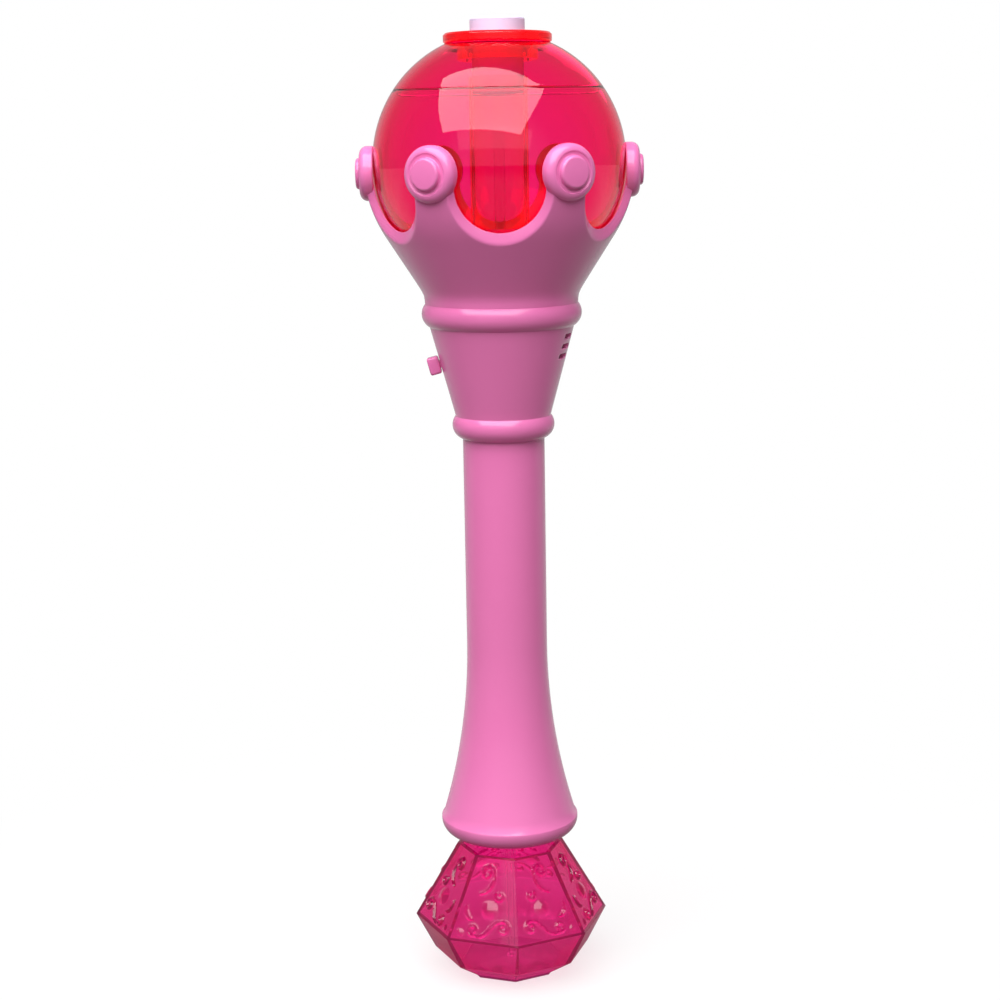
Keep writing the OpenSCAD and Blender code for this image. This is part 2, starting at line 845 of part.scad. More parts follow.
module gear_plate() {
    color(WHITE)
        difference() {
            rod(0, 0, chamber_r, plate_z, plate_z + plate_t);
            rod(0, 0, 3 + fit, plate_z - 1, plate_z + plate_t + 1);
            rod(gear_a, 0, axle_r + fit, plate_z - 1, plate_z + plate_t + 1);
            rod(0, tube_y + 2.4, tube_r + 1.2, plate_z - 1, plate_z + plate_t + 1);
        }
}

module counter_axle() {
    color(GREY)
        rod(gear_a, 0, axle_r, rotor_wheel_z + 0.2, plate_z + plate_t);
}

module counter_gear() {
    color([0.95, 0.95, 0.9])
        translate([gear_a, 0, 0])
            difference() {
                union() {
                    wheel(pinion_teeth, 0.9, rotor_wheel_z + 0.4, counter_z - rotor_wheel_z, 22.5);
                    wheel(wheel_teeth, 0.5, counter_z, wheel_h, 7.5);
                }
                rod(0, 0, axle_r + fit, rotor_wheel_z - 1, counter_z + wheel_h + 1);
            }
}

module motor_pinion() {
    color([0.8, 0.65, 0.3])
        difference() {
            wheel(pinion_teeth, 0.9, counter_z - 0.3, wheel_h + 0.8, 0);
            rod(0, 0, shaft_r + fit / 2, counter_z - 1, counter_z + wheel_h + 2);
        }
}

module motor_shaft() {
    color(GREY)
        rod(0, 0, shaft_r, counter_z - 0.4, fan_z + fan_h - 1);
}

module motor_can() {
    color(GREY)
        difference() {
            union() {
                intersection() {
                    rod(0, 0, motor_r, motor_z, motor_top_z);
                    translate([-20, -0.75 * motor_r, motor_z])
                        cube([40, 1.5 * motor_r, motor_len]);
                }
                rod(0, 0, 3, motor_z - plate_t + 0.4, motor_top_z + 1.4);
            }
            rod(0, 0, shaft_r + fit, motor_z - 5, motor_top_z + 5);
        }
}

module switch_knob() {
    color(PINK)
        on_switch() {
            translate([gap, -knob_w / 2, -knob_len / 2])
                cube([knob_out - gap, knob_w, knob_len]);
            translate([-shell_wall - 2.4, -1.6, -1.5])
                cube([shell_wall + 3, 3.2, 3]);
            translate([-shell_wall - 2.4, -3, -2.5])
                cube([1.5, 6, 5]);
        }
}

module switch_body() {
    color(DARK)
        on_switch()
            translate([-shell_wall - switch_d, -3.5, -4.2 + seat])
                cube([switch_d - 2.4 - gap, 7, knob_travel + 8.4 - 2 * seat]);
}

module fan_impeller() {
    color(WHITE)
        difference() {
            union() {
                rod(0, 0, 4, fan_z - 0.6, fan_z + fan_h);
                intersection() {
                    rod(0, 0, fan_r, fan_z - 1, fan_z + fan_h);
                    for (a = [0 : 72 : 288])
                        rotate([0, 0, a])
                            translate([fan_r / 2 + 2, 0, fan_z + fan_h / 2 - 0.2])
                                rotate([38, 0, 0])
                                    cube([fan_r - 1, blade_w, 1.2], center = true);
                }
            }
            rod(0, 0, shaft_r + fit / 2, fan_z - 2, fan_z + fan_h - 0.9);
        }
}

module fan_deck() {
    shroud_out = shroud_r + shroud_t;
    color(WHITE)
        difference() {
            union() {
                rotate_extrude()
                    polygon([
                        [shroud_r, motor_top_z + 1], [shroud_out, motor_top_z + 1],
                        [shroud_out, deck_z], [crown_base_r - 2.4, deck_z],
                        [crown_base_r - 2.4, deck_z + deck_t], [shroud_out, deck_z + deck_t],
                        [duct_r + 3.2, duct_z - 3], [duct_r + 3.2, duct_z - 1.6], [duct_r, duct_z - 1.6],
                        [duct_r, duct_z], [spigot_r, duct_z], [spigot_r, duct_z + 6],
                        [spigot_r - 1.3, duct_z + 6], [spigot_r - 1.3, duct_z - 2], [shroud_r, deck_z],
                    ]);
                pipe(globe_floor_r - 0.6, globe_floor_r - 2.8, deck_z + 1, globe_floor_z - seat);
                for (a = [30, 150, 270]) {
                    rotate([0, 0, a])
                        translate([4, -1.5, motor_top_z + seat])
                            cube([shroud_r - 3.2, 3, 2.4]);
                    rotate([0, 0, a])
                        rod(ledge_in_r + 1.9, 0, 2.3, deck_z + 1, deck_z + 6);
                }
                rod(0, 0, 5.5, motor_top_z + seat, motor_top_z + 2.5);
            }
            rod(0, 0, 3 + fit, motor_top_z - 1, motor_top_z + 1.6);
            rod(0, 0, shaft_r + 0.5, motor_top_z - 1, motor_top_z + 4);
            rod(0, tube_deck_y, tube_r + 0.4, deck_z - 1, deck_z + deck_t + 1);
            for (a = [30, 150, 270])
                rotate([0, 0, a])
                    rod(ledge_in_r + 1.9, 0, screw_r + fit, deck_z - 1, deck_z + 5);
        }
}

module deck_screws() {
    color(GREY)
        for (a = [30, 150, 270])
            rotate([0, 0, a])
                translate([ledge_in_r + 1.9, 0, 0]) {
                    rod(0, 0, screw_r, deck_z - 2.2, deck_z + 4.5);
                    rod(0, 0, screw_head_r, deck_z - 3.8, deck_z - 2);
                }
}

module air_duct() {
    color([0.9, 0.3, 0.5])
        difference() {
            pipe(duct_r, duct_r - duct_t, duct_z, duct_top_z);
            rod(0, tube_barb_y, tube_r + gap, duct_top_z - 5, duct_top_z + 1);
        }
}

module led_board() {
    color([0.15, 0.4, 0.25])
        difference() {
            pipe(duct_r + board_w, duct_r + gap, duct_z - 1.6, duct_z);
            rod(0, tube_duct_y + 3.2, tube_r + 2.4, duct_z - 3, duct_z + 2);
        }
}

module led_lamps() {
    color([0.95, 0.95, 1, 0.7])
        for (a = [30, 150, 270])
            rotate([0, 0, a])
                translate([duct_r + 3.2, 0, duct_z]) {
                    cylinder(r = 2.5, h = 3);
                    translate([0, 0, 3])
                        sphere(r = 2.5);
                }
}

// Section of the crown's outside, from its clamped lip up to the points
function crown_outside() =
    let (
        foot = [crown_base_r, crown_z + 2.5],
        meet_a = tangent_angle(foot, crown_out_r),
        top_a = asin((points_z - globe_z) / crown_out_r)
    )
    concat(
        [
            [0, crown_lip_z],
            [crown_lip_r, crown_lip_z],
            [crown_lip_r, crown_lip_z + crown_lip_t],
            [crown_neck_r, crown_lip_z + crown_lip_t],
            [crown_neck_r, crown_z],
            [crown_base_r, crown_z],
            foot,
        ],
        arc([0, globe_z], crown_out_r, meet_a, top_a, 8),
        [[0, points_z]]
    );

// Section of the hollow that the fan deck and the globe sit in
function crown_inside() =
    let (
        top_z = pearl_z + pearl_r,
        foot = [crown_base_r - 2, deck_z],
        meet_a = tangent_angle(foot, crown_in_r),
        top_a = asin((top_z - globe_z) / crown_in_r)
    )
    concat(
        [
            [0, crown_lip_z - 1],
            [crown_neck_r - crown_neck_t, crown_lip_z - 1],
            [crown_neck_r - crown_neck_t, deck_z - 2],
            [ledge_in_r, deck_z - 2],
            [ledge_in_r, deck_z],
            foot,
        ],
        arc([0, globe_z], crown_in_r, meet_a, top_a, 10),
        [[0, top_z]]
    );

module crown() {
    hollow_r = crown_base_r + 8;
    past_r = crown_out_r + 10;
    color(PINK)
        difference() {
            union() {
                rotate_extrude()
                    polygon(crown_outside());
                for (a = [0 : 60 : 300])
                    intersection() {
                        spoke(a, pearl_z, pearl_r - 2, hollow_r, pearl_seat_x - seat);
                        rod(0, 0, past_r, points_z - 1, globe_z + crown_out_r);
                    }
            }
            rotate_extrude()
                polygon(crown_inside());
            for (a = [30 : 60 : 330])
                spoke(a, globe_z - scallop_drop, scallop_r, hollow_r, past_r);
            for (a = [0 : 60 : 300])
                spoke(a, pearl_z, pearl_r + 0.15, pearl_seat_x, past_r);
            for (a = [30, 150, 270])
                rotate([0, 0, a])
                    rod(ledge_in_r + 1.9, 0, screw_r + 0.2, deck_z - 4, deck_z + 1);
            rod(0, tube_deck_y, tube_r + 0.4, deck_z - 4, deck_z + 1);
        }
}

// One button, turned about its own line and laid to point outward
module pearl() {
    back_x = pearl_seat_x + seat;
    rotate([0, 90, 0])
        rotate_extrude()
            polygon(concat(
                [[0, back_x], [pearl_r, back_x]],
                arc([pearl_r - 2.4, crown_out_r - 1.2], 2.4, 0, 90, 8),
                [
                    [0.74 * pearl_r, pearl_top_r - 1.6],
                    [0.7 * pearl_r, pearl_top_r - 1.2],
                    [0.56 * pearl_r, pearl_top_r - 0.25],
                    [0.52 * pearl_r, pearl_top_r],
                    [0, pearl_top_r],
                ]));
}

module crown_pearls() {
    color(PINK)
        for (a = [0 : 60 : 300])
            rotate([0, 0, a])
                translate([0, 0, pearl_z])
                    pearl();
}

module globe_bowl() {
    lip_r = globe_r - globe_wall / 2;
    in_r = globe_r - globe_wall;
    floor_rise = globe_floor_z - globe_z;
    color(RED)
        rotate_extrude()
            polygon(concat(
                arc([0, globe_z], globe_r, asin(floor_rise / globe_r), asin(seam_rise / globe_r), 26),
                arc([0, globe_z], lip_r, asin(seam_rise / lip_r), asin((seam_rise + 2.5) / lip_r), 2),
                arc([0, globe_z], in_r, asin((seam_rise + 2.5) / in_r), asin(floor_rise / in_r), 26)
            ));
}

module globe_dome() {
    lap_r = globe_r - globe_wall / 2 + fit;
    in_r = globe_r - globe_wall;
    top_rise = globe_top_z - globe_z;
    color(RED)
        rotate_extrude()
            polygon(concat(
                arc([0, globe_z], globe_r, asin((seam_rise + fit) / globe_r), asin(top_rise / globe_r), 14),
                [[collar_skirt_r + 0.4, globe_top_z], [collar_skirt_r + 0.4, globe_top_z - globe_wall]],
                arc([0, globe_z], in_r, asin((top_rise - globe_wall) / in_r), asin((seam_rise + 2.6) / in_r), 12),
                arc([0, globe_z], lap_r, asin((seam_rise + 2.6) / lap_r), asin((seam_rise + fit) / lap_r), 2)
            ));
}

module globe_collar() {
    skirt_in = collar_skirt_r - collar_skirt_t;
    color(RED)
        rotate_extrude()
            polygon(concat(
                [[skirt_in, globe_top_z - 6], [collar_skirt_r, globe_top_z - 6], [collar_skirt_r, globe_top_z]],
                [[collar_r - 0.6, globe_top_z]],
                arc([collar_r - 1, collar_top_z - 1], 1, 0, 90, 6),
                [[nozzle_r + 0.2, collar_top_z], [nozzle_r + 0.2, collar_top_z - 2.2], [skirt_in, collar_top_z - 2.2]]
            ));
}

module bubble_nozzle() {
    top_z = collar_top_z + nozzle_rise;
    flange_r = collar_skirt_r - collar_skirt_t - seat;
    flange_z = collar_top_z - nozzle_seat;
    leg_r = spigot_r + 1.6;
    color(WHITE)
        difference() {
            union() {
                rotate_extrude()
                    polygon(concat(
                        [[spigot_r - 1.3, duct_top_z - 6], [spigot_r, duct_top_z - 6], [spigot_r, flange_z]],
                        [[flange_r, flange_z], [flange_r, flange_z + 2.1], [nozzle_r, flange_z + 2.1]],
                        arc([nozzle_r - 0.9, top_z - 0.9], 0.9, 0, 180, 8),
                        [[nozzle_bore, top_z - 6], [spigot_r - 1.3, flange_z]]
                    ));
                for (a = [0, 180])
                    rotate([0, 0, a]) {
                        translate([leg_r, -2, flange_z - 5.5])
                            cube([1.2, 4, 6]);
                        translate([leg_r, -2, flange_z - 5.5])
                            cube([1.8, 4, 1.6]);
                    }
                rod(0, tube_barb_y, tube_bore - fit, barb_z, flange_z + 0.5);
            }
        }
}

bottle();
bottle_gasket();
bottle_socket();
socket_plate();
dip_tube();
front_shell();
rear_shell();
shell_screws();
battery_cradle();
battery_cells();
contact_plates();
contact_spring();
battery_door();
door_screw();
suction_tube();
pump_body();
pump_axle();
pump_rotor();
pump_roller_a();
pump_roller_b();
pump_roller_c();
roller_pins();
pump_tube();
delivery_tube();
gear_plate();
counter_axle();
counter_gear();
motor_pinion();
motor_shaft();
motor_can();
switch_knob();
switch_body();
fan_impeller();
fan_deck();
deck_screws();
air_duct();
led_board();
led_lamps();
crown();
crown_pearls();
globe_bowl();
globe_dome();
globe_collar();
bubble_nozzle();
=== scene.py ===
"""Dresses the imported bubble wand: a pink handle with a crown, a clear globe and a clear faceted bottle.

Lengths are millimetres until a mesh is made; the frame itself is in metres, with Z up and the front at -Y.
"""

import logging
import math
from dataclasses import dataclass, field
from enum import Enum
from typing import Any, Optional, Sequence, Union

import bmesh
import bpy
import numpy as np
from mathutils import Euler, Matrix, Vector


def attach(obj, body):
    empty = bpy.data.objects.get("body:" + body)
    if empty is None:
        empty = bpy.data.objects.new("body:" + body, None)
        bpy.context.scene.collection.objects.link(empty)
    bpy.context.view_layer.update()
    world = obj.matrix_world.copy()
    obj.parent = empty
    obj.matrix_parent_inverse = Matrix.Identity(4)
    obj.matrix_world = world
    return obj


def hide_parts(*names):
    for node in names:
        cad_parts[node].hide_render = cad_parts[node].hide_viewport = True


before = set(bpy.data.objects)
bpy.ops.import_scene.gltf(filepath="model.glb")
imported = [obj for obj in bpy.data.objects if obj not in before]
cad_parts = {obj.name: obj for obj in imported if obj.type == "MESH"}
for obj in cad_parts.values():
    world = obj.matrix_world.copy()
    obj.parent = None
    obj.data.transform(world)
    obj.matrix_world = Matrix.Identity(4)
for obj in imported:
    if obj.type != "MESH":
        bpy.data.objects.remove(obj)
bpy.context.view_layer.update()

LOG = logging.getLogger("bubble_wand")
MM = 0.001
# Directions about Z in degrees; the front is at -90.
RIGHT, BACK, LEFT = 0.0, 90.0, 180.0

Array = np.ndarray
Material = bpy.types.Material
Node = bpy.types.Node
Tree = bpy.types.NodeTree
Socket = bpy.types.NodeSocket


class Body(Enum):
    """Moving bodies of the frame that new pieces ride on."""

    WAND = "wand"
    BOTTLE = "bottle"
    SWITCH = "switch"


class Slot(Enum):
    """Material slots of the record."""

    PINK = "pink"
    GLOBE = "globe_red"
    BOTTLE = "bottle_pink"
    NOZZLE = "nozzle_white"


# Mesh toolkit


@dataclass
class Patch:
    """Points in millimetres and four-cornered faces; a face with two equal corners is a triangle."""

    points: Array
    quads: Array

    def moved(self, turn: Array, shift: Sequence[float] = (0, 0, 0)) -> "Patch":
        """The patch turned by a 3 x 3 matrix, then shifted."""
        return Patch(self.points @ np.asarray(turn).T + np.asarray(shift), self.quads)


def grid(points: Array, wrap_u: bool = False, wrap_v: bool = False) -> Patch:
    """Joins a lattice of points (u, v, 3) into quads.

    Args:
        points: lattice of points.
        wrap_u: joins the last row to the first.
        wrap_v: joins the last column to the first.

    Returns:
        A patch with one quad for each cell of the lattice.
    """
    nu, nv = points.shape[:2]
    index = np.arange(nu * nv).reshape(nu, nv)
    if wrap_u:
        index = np.concatenate([index, index[:1]], 0)
    if wrap_v:
        index = np.concatenate([index, index[:, :1]], 1)
    corners = (index[:-1, :-1], index[:-1, 1:], index[1:, 1:], index[1:, :-1])
    return Patch(points.reshape(-1, 3), np.stack([c.ravel() for c in corners], 1))


def joined(patches: Sequence[Patch]) -> Patch:
    """Puts several patches into one, without welding them."""
    starts = np.cumsum([0] + [len(p.points) for p in patches[:-1]])
    quads = [p.quads + s for p, s in zip(patches, starts)]
    return Patch(np.concatenate([p.points for p in patches]), np.concatenate(quads))


def turn_z(degrees: float) -> Array:
    """Matrix of a turn about Z."""
    c, s = math.cos(math.radians(degrees)), math.sin(math.radians(degrees))
    return np.array([[c, -s, 0], [s, c, 0], [0, 0, 1]])


def turn_y(degrees: float) -> Array:
    """Matrix of a turn about Y."""
    c, s = math.cos(math.radians(degrees)), math.sin(math.radians(degrees))
    return np.array([[c, 0, s], [0, 1, 0], [-s, 0, c]])


def polar(r: Array, angle: Array, z: Array) -> Array:
    """Points (r cos a, r sin a, z) for radii, angles in radians and heights that fit each other."""
    return np.stack(np.broadcast_arrays(r * np.cos(angle), r * np.sin(angle), z), -1)


def unit(angle: Array) -> Array:
    """Flat directions (cos a, sin a)."""
    return np.stack([np.cos(angle), np.sin(angle)], -1)


def arc(centre: Sequence[float], radius: float, start: float, end: float, steps: int) -> Array:
    """Points on a circle: centre + radius * (cos a, sin a), a from start to end in degrees."""
    return np.array(centre) + radius * unit(np.radians(np.linspace(start, end, steps + 1)))


def stepped(marks: Array, size: float) -> Array:
    """Even steps from mark to mark, none longer than a size, without the last mark."""
    return np.concatenate([np.linspace(a, b, math.ceil((b - a) / size) + 1)[:-1] for a, b in zip(marks, marks[1:])])


def fillet(path: Array, radius: float, steps: int = 5, closed: bool = False, limit: float = 14.0) -> Array:
    """Rounds the sharp corners of a flat path.

    At each corner that turns by more than the limit, an arc tangent to both sides takes the corner's place: it starts
    radius * tan(turn / 2) before the corner, or less than half the shorter side where that side is short.

    Args:
        path: points (n, 2).
        radius: radius of the rounding.
        steps: segments of each arc.
        closed: whether the last point joins the first.
        limit: turn in degrees below which a point is left as it is.

    Returns:
        The rounded path.
    """
    before, after = np.roll(path, 1, 0) - path, np.roll(path, -1, 0) - path
    len_a, len_b = np.linalg.norm(before, axis=1), np.linalg.norm(after, axis=1)
    a, b = before / np.maximum(len_a, 1e-9)[:, None], after / np.maximum(len_b, 1e-9)[:, None]
    turn = np.pi - np.arccos(np.clip((a * b).sum(1), -1, 1))
    sharp = turn > np.radians(limit)
    if not closed:
        sharp[[0, -1]] = False
    half = np.clip(turn / 2, 1e-4, 1.5)
    reach = np.minimum(radius * np.tan(half), 0.45 * np.minimum(len_a, len_b))
    small = reach / np.tan(half)
    middle = (a + b) / np.maximum(np.linalg.norm(a + b, axis=1), 1e-9)[:, None]
    centre = path + middle * (small / np.cos(half))[:, None]
    first, last = path + a * reach[:, None] - centre, path + b * reach[:, None] - centre
    s = np.linspace(0, 1, steps + 1)[None, :, None]
    full = np.maximum(turn, 1e-4)[:, None, None]
    curve = (np.sin((1 - s) * full) * first[:, None] + np.sin(s * full) * last[:, None]) / np.sin(full)
    points = np.where(sharp[:, None, None], centre[:, None] + curve, path[:, None])
    keep = np.broadcast_to(sharp[:, None], points.shape[:2]).copy()
    keep[:, 0] = True
    return points[keep]


def revolve(section: Array, columns: int, closed: bool = True) -> Patch:
    """Turns a section of (radius, height) points about Z: (r cos a, r sin a, z) for whole turns of a."""
    a = np.linspace(0, 2 * np.pi, columns, endpoint=False)
    return grid(polar(section[:, :1], a, section[:, 1:]), wrap_u=closed, wrap_v=True)


def box_loop(half_a: float, half_b: float, corner: float, steps: int = 5) -> Array:
    """Closed loop of a rectangle with round corners, as points (n, 2) around the origin."""
    corners = np.array([[half_a, half_b], [-half_a, half_b], [-half_a, -half_b], [half_a, -half_b]])
    inner = corners - np.sign(corners) * corner
    angles = np.radians(np.linspace(0, 90, steps + 1)[None] + 90 * np.arange(4)[:, None])
    return (inner[:, None] + corner * unit(angles)).reshape(-1, 2)


def pillow(half_a: float, half_b: float, low: float, high: float, corner: float, edge: float) -> Patch:
    """Rounded block: the loop of box_loop carried along X, drawn in by edge * (1 - sin b) near both ends.

    Args:
        half_a: half width along Y.
        half_b: half height along Z.
        low: lowest X.
        high: highest X.
        corner: radius of the long edges.
        edge: radius of the edges at both ends.

    Returns:
        A closed patch.
    """
    b = np.radians(np.linspace(0, 90, 6))
    inset = np.concatenate([[half_b], edge * (1 - np.sin(b)), edge * (1 - np.sin(b[::-1])), [half_b]])
    x = np.concatenate([[low], low + edge * (1 - np.cos(b)), high - edge * (1 - np.cos(b[::-1])), [high]])
    base = box_loop(half_a, half_b, corner)
    shrunk = np.stack([np.sign(base) * np.maximum(np.abs(base) - i, 0) for i in inset])
    points = np.concatenate([np.broadcast_to(x[:, None, None], shrunk.shape[:2] + (1,)), shrunk], 2)
    return grid(points, wrap_v=True)


def open_loops(work: bmesh.types.BMesh) -> list[list[bmesh.types.BMEdge]]:
    """Groups the open edges of a mesh into connected borders, in the order of the edges."""
    left, loops = {e: None for e in work.edges if e.is_boundary}, []
    while left:
        loop, front = [], [left.popitem()[0]]
        while front:
            edge = front.pop()
            loop.append(edge)
            for near in [e for v in edge.verts for e in v.link_edges if e in left]:
                del left[near]
                front.append(near)
        loops.append(loop)
    return loops


def placed(name: str, data: bpy.types.ID) -> bpy.types.Object:
    """Makes an object of a mesh, lamp or camera and links it to the scene."""
    made = bpy.data.objects.new(name, data)
    bpy.context.scene.collection.objects.link(made)
    return made


def make_piece(name: str, patch: Patch, body: Body, slot: Slot, material: Material,
               nodes: Sequence[str], sharp: float = 40.0, fill: bool = False) -> None:
    """Welds a patch, makes it a mesh in metres and fixes it to the frame.

    Args:
        name: name of the new object.
        patch: points in millimetres and faces.
        body: body it rides on.
        slot: the record's material slot; not used.
        material: finish of the whole piece.
        nodes: CAD nodes that it stands for.
        sharp: edges that turn by more than this many degrees stay crisp.
        fill: closes open flat borders with triangles.
    """
    _, first, back = np.unique(np.round(patch.points, 4), axis=0, return_index=True, return_inverse=True)
    quads = back.reshape(-1)[patch.quads].tolist()
    faces = [list(dict.fromkeys(q)) for q in quads if q[0] != q[2] and q[1] != q[3]]
    faces = sorted((f for f in faces if len(f) > 2), key=len, reverse=True)
    mesh = bpy.data.meshes.new(name)
    mesh.from_pydata((patch.points[first] * MM).tolist(), [], faces)
    mesh.validate()
    work = bmesh.new()
    work.from_mesh(mesh)
    for loop in open_loops(work) if fill else ():
        bmesh.ops.triangle_fill(work, use_beauty=True, edges=loop)
    bmesh.ops.recalc_face_normals(work, faces=work.faces)
    open_edges = sum(e.is_boundary for e in work.edges)
    work.to_mesh(mesh)
    work.free()
    mesh.shade_smooth()
    mesh.set_sharp_from_angle(angle=math.radians(sharp))
    mesh.materials.append(material)
    piece = placed(name, mesh)
    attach(piece, body.value)
    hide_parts(*nodes)
    LOG.info("%s: %d faces, %d open edges", name, len(mesh.polygons), open_edges)


# Finishes


def linear(code: str) -> tuple[float, float, float, float]:
    """Turns an sRGB hex colour into linear red, green, blue and alpha."""
    values = np.array([int(code[i:i + 2], 16) for i in (1, 3, 5)]) / 255
    low, high = values / 12.92, ((values + 0.055) / 1.055) ** 2.4
    red, green, blue = np.where(values <= 0.04045, low, high)
    return float(red), float(green), float(blue), 1.0


def add_node(tree: Tree, kind: str, inputs: Optional[dict[Any, Any]] = None, **settings: Any) -> Node:
    """Adds a node, sets its properties, and sets or links its inputs.

    Args:
        tree: node tree of a material or world.
        kind: node type, without its prefix.
        inputs: value, output socket or node (its first output) for each input, by name or number.
        **settings: properties of the node.

    Returns:
        The new node.
    """
    node = tree.nodes.new("ShaderNode" + kind)
    for key, value in settings.items():
        setattr(node, key, value)
    for key, value in (inputs or {}).items():
        if isinstance(value, (Node, Socket)):
            tree.links.new(value.outputs[0] if isinstance(value, Node) else value, node.inputs[key])
        else:
            node.inputs[key].default_value = value
    return node


def new_tree(name: str) -> tuple[Material, Tree]:
    """Makes a material with an empty node tree."""
    material = bpy.data.materials.new(name)
    material.use_nodes = True
    material.node_tree.nodes.clear()
    return material, material.node_tree


def textured(tree: Tree, place: Socket, size_mm: float, detail: float,
             roughness: tuple[float, float], relief_mm: float, strength: float) -> dict[str, Node]:
    """Noise that drives a finish's roughness and its relief.

    Args:
        tree: node tree of the material.
        place: coordinates of the noise.
        size_mm: size of the noise.
        detail: detail of the noise.
        roughness: lowest and highest roughness.
        relief_mm: height of the relief.
        strength: strength of the relief.

    Returns:
        Nodes for the shader's Roughness and Normal.
    """
    noise = add_node(tree, "TexNoise", {"Vector": place, "Scale": 1 / (size_mm * MM), "Detail": detail})
    rough = add_node(tree, "MapRange", {"Value": noise, "To Min": roughness[0], "To Max": roughness[1]})
    relief = add_node(tree, "Bump", {"Height": noise, "Strength": strength, "Distance": relief_mm * MM})
    return {"Roughness": rough, "Normal": relief}


@dataclass(frozen=True)
class Opaque:
    """A solid finish: two close colours in soft clouds, a roughness that wanders, and a fine grain.

    Attributes:
        name: common name of the material and how it was made.
        colour: main colour.
        shade: second colour of the clouds.
        roughness: lowest and highest roughness.
        cloud_mm: size of the clouds of colour.
        grain_mm: size of the grain.
        relief_mm: height of the grain.
        metallic: 1 for metal.
        ior: index of refraction.
        stretch: drawn-out grain along X, Y and Z, for brushed or turned metal.
    """

    name: str
    colour: str
    shade: str
    roughness: tuple[float, float] = (0.3, 0.4)
    cloud_mm: float = 30.0
    grain_mm: float = 0.6
    relief_mm: float = 0.01
    metallic: float = 0.0
    ior: float = 1.5
    stretch: tuple[float, float, float] = (1.0, 1.0, 1.0)

    def material(self) -> Material:
        """Builds the node material on Object coordinates."""
        material, tree = new_tree(self.name)
        place = add_node(tree, "TexCoord").outputs["Object"]
        clouds = add_node(tree, "TexNoise", {"Vector": place, "Scale": 1 / (self.cloud_mm * MM), "Detail": 3.0})
        drawn = add_node(tree, "Mapping", {"Vector": place, "Scale": self.stretch})
        grain = textured(tree, drawn.outputs["Vector"], self.grain_mm, 4.0, self.roughness, self.relief_mm, 0.5)
        tint = add_node(tree, "MixRGB", {"Fac": clouds, "Color1": linear(self.colour), "Color2": linear(self.shade)})
        shader = add_node(tree, "BsdfPrincipled", {
            "Base Color": tint, "Metallic": self.metallic, "IOR": self.ior, **grain})
        add_node(tree, "OutputMaterial", {"Surface": shader})
        return material


@dataclass(frozen=True)
class Clear:
    """A tinted clear plastic: lamps shine through it, and faint flow waves bend what is seen through it.

    Attributes:
        name: common name of the material and how it was made.
        tint: faint colour of its surface.
        through: colour of white light after depth_mm of the plastic.
        depth_mm: that depth.
        roughness: lowest and highest roughness.
        wave_mm: size of the flow waves of the moulding.
        relief_mm: height of the waves.
        glow: colour given off as emission, a painted glow that brightens the clear plastic.
        glow_strength: strength of that glow.
        ior: index of refraction.
    """

    name: str
    tint: str
    through: str
    depth_mm: float
    roughness: tuple[float, float] = (0.02, 0.06)
    wave_mm: float = 12.0
    relief_mm: float = 0.02
    glow: str = "#FF0030"
    glow_strength: float = 0.0
    ior: float = 1.49

    def material(self) -> Material:
        """Builds the node material on Object coordinates."""
        material, tree = new_tree(self.name)
        place = add_node(tree, "TexCoord").outputs["Object"]
        waves = textured(tree, place, self.wave_mm, 2.0, self.roughness, self.relief_mm, 0.3)
        # Emission Color and Emission Strength put in painted glow: light that no lamp gives.
        shader = add_node(tree, "BsdfPrincipled", {
            "Base Color": linear(self.tint), "Transmission Weight": 1.0, "IOR": self.ior,
            "Emission Color": linear(self.glow), "Emission Strength": self.glow_strength, **waves})
        lamps = add_node(tree, "BsdfTransparent", {"Color": linear("#F4F0F2")})
        shadow = add_node(tree, "LightPath").outputs["Is Shadow Ray"]
        both = add_node(tree, "MixShader", {0: shadow, 1: shader, 2: lamps})
        loss = -np.log(np.clip(linear(self.through)[:3], 1e-4, 0.999)) / (self.depth_mm * MM)
        kept = [float(c) for c in 1 - loss / loss.max()]
        dye = add_node(tree, "VolumeAbsorption", {"Color": (*kept, 1.0), "Density": float(loss.max())})
        add_node(tree, "OutputMaterial", {"Surface": both, "Volume": dye})
        return material


# ABS, moulded with a fine gloss: a softly mottled pink with a faint orange-peel skin.
PINK_ABS = Opaque("moulded_pink_abs", "#F683C2", "#F07CBB", (0.12, 0.18), 45.0, 1.6, 0.012, ior=1.53)
# Acrylic with a red dye, moulded clear: walls read deeper red at the edges, and a faint painted glow in its emission
# brightens the red.
GLOBE_ACRYLIC = Clear("clear_red_acrylic", "#FFF4F6", "#EC0A6C", 4.0, (0.01, 0.03), 25.0, 0.01, "#FF0A3A", 0.02)
# The collar is the same acrylic in thicker ribs, so it reads a stronger red; a stronger painted glow in its emission
# adds to that red.
COLLAR_ACRYLIC = Clear("thick_red_acrylic", "#FFF0F2", "#FA1A60", 4.0, (0.03, 0.08), 10.0, 0.02, "#FF0A30", 0.18)
# Styrene bottle, moulded clear in a deep rose: glossy facets with slow waves in the wall, and a painted glow in its
# emission that brightens the rose.
BOTTLE_STYRENE = Clear("clear_rose_styrene", "#FFF2F6", "#D43C88", 4.4, (0.02, 0.05), 12.0, 0.02, "#FF18A0", 0.1, 1.5)
# Polypropylene, moulded with a satin skin: pale lilac white.
NOZZLE_PP = Opaque("satin_lilac_polypropylene", "#E6DAF6", "#DFD0F0", (0.4, 0.5), 20.0, 1.0, 0.01)
# Natural polypropylene of the pump and cradle: slightly warm white, satin.
WHITE_PP = Opaque("natural_white_polypropylene", "#EFEBE6", "#E4DFDA", (0.42, 0.55), 18.0, 0.8, 0.01)
# Rose styrene duct, moulded thin.
DUCT_STYRENE = Clear("clear_rose_duct", "#FFF6F8", "#FFB8CC", 2.4, (0.04, 0.08), 10.0, 0.01, ior=1.08)
# Silicone tube, extruded: milky, soft and dull.
SILICONE = Opaque("milky_silicone_tube", "#E9E6DF", "#DAD6CE", (0.45, 0.6), 8.0, 0.5, 0.015, ior=1.41)
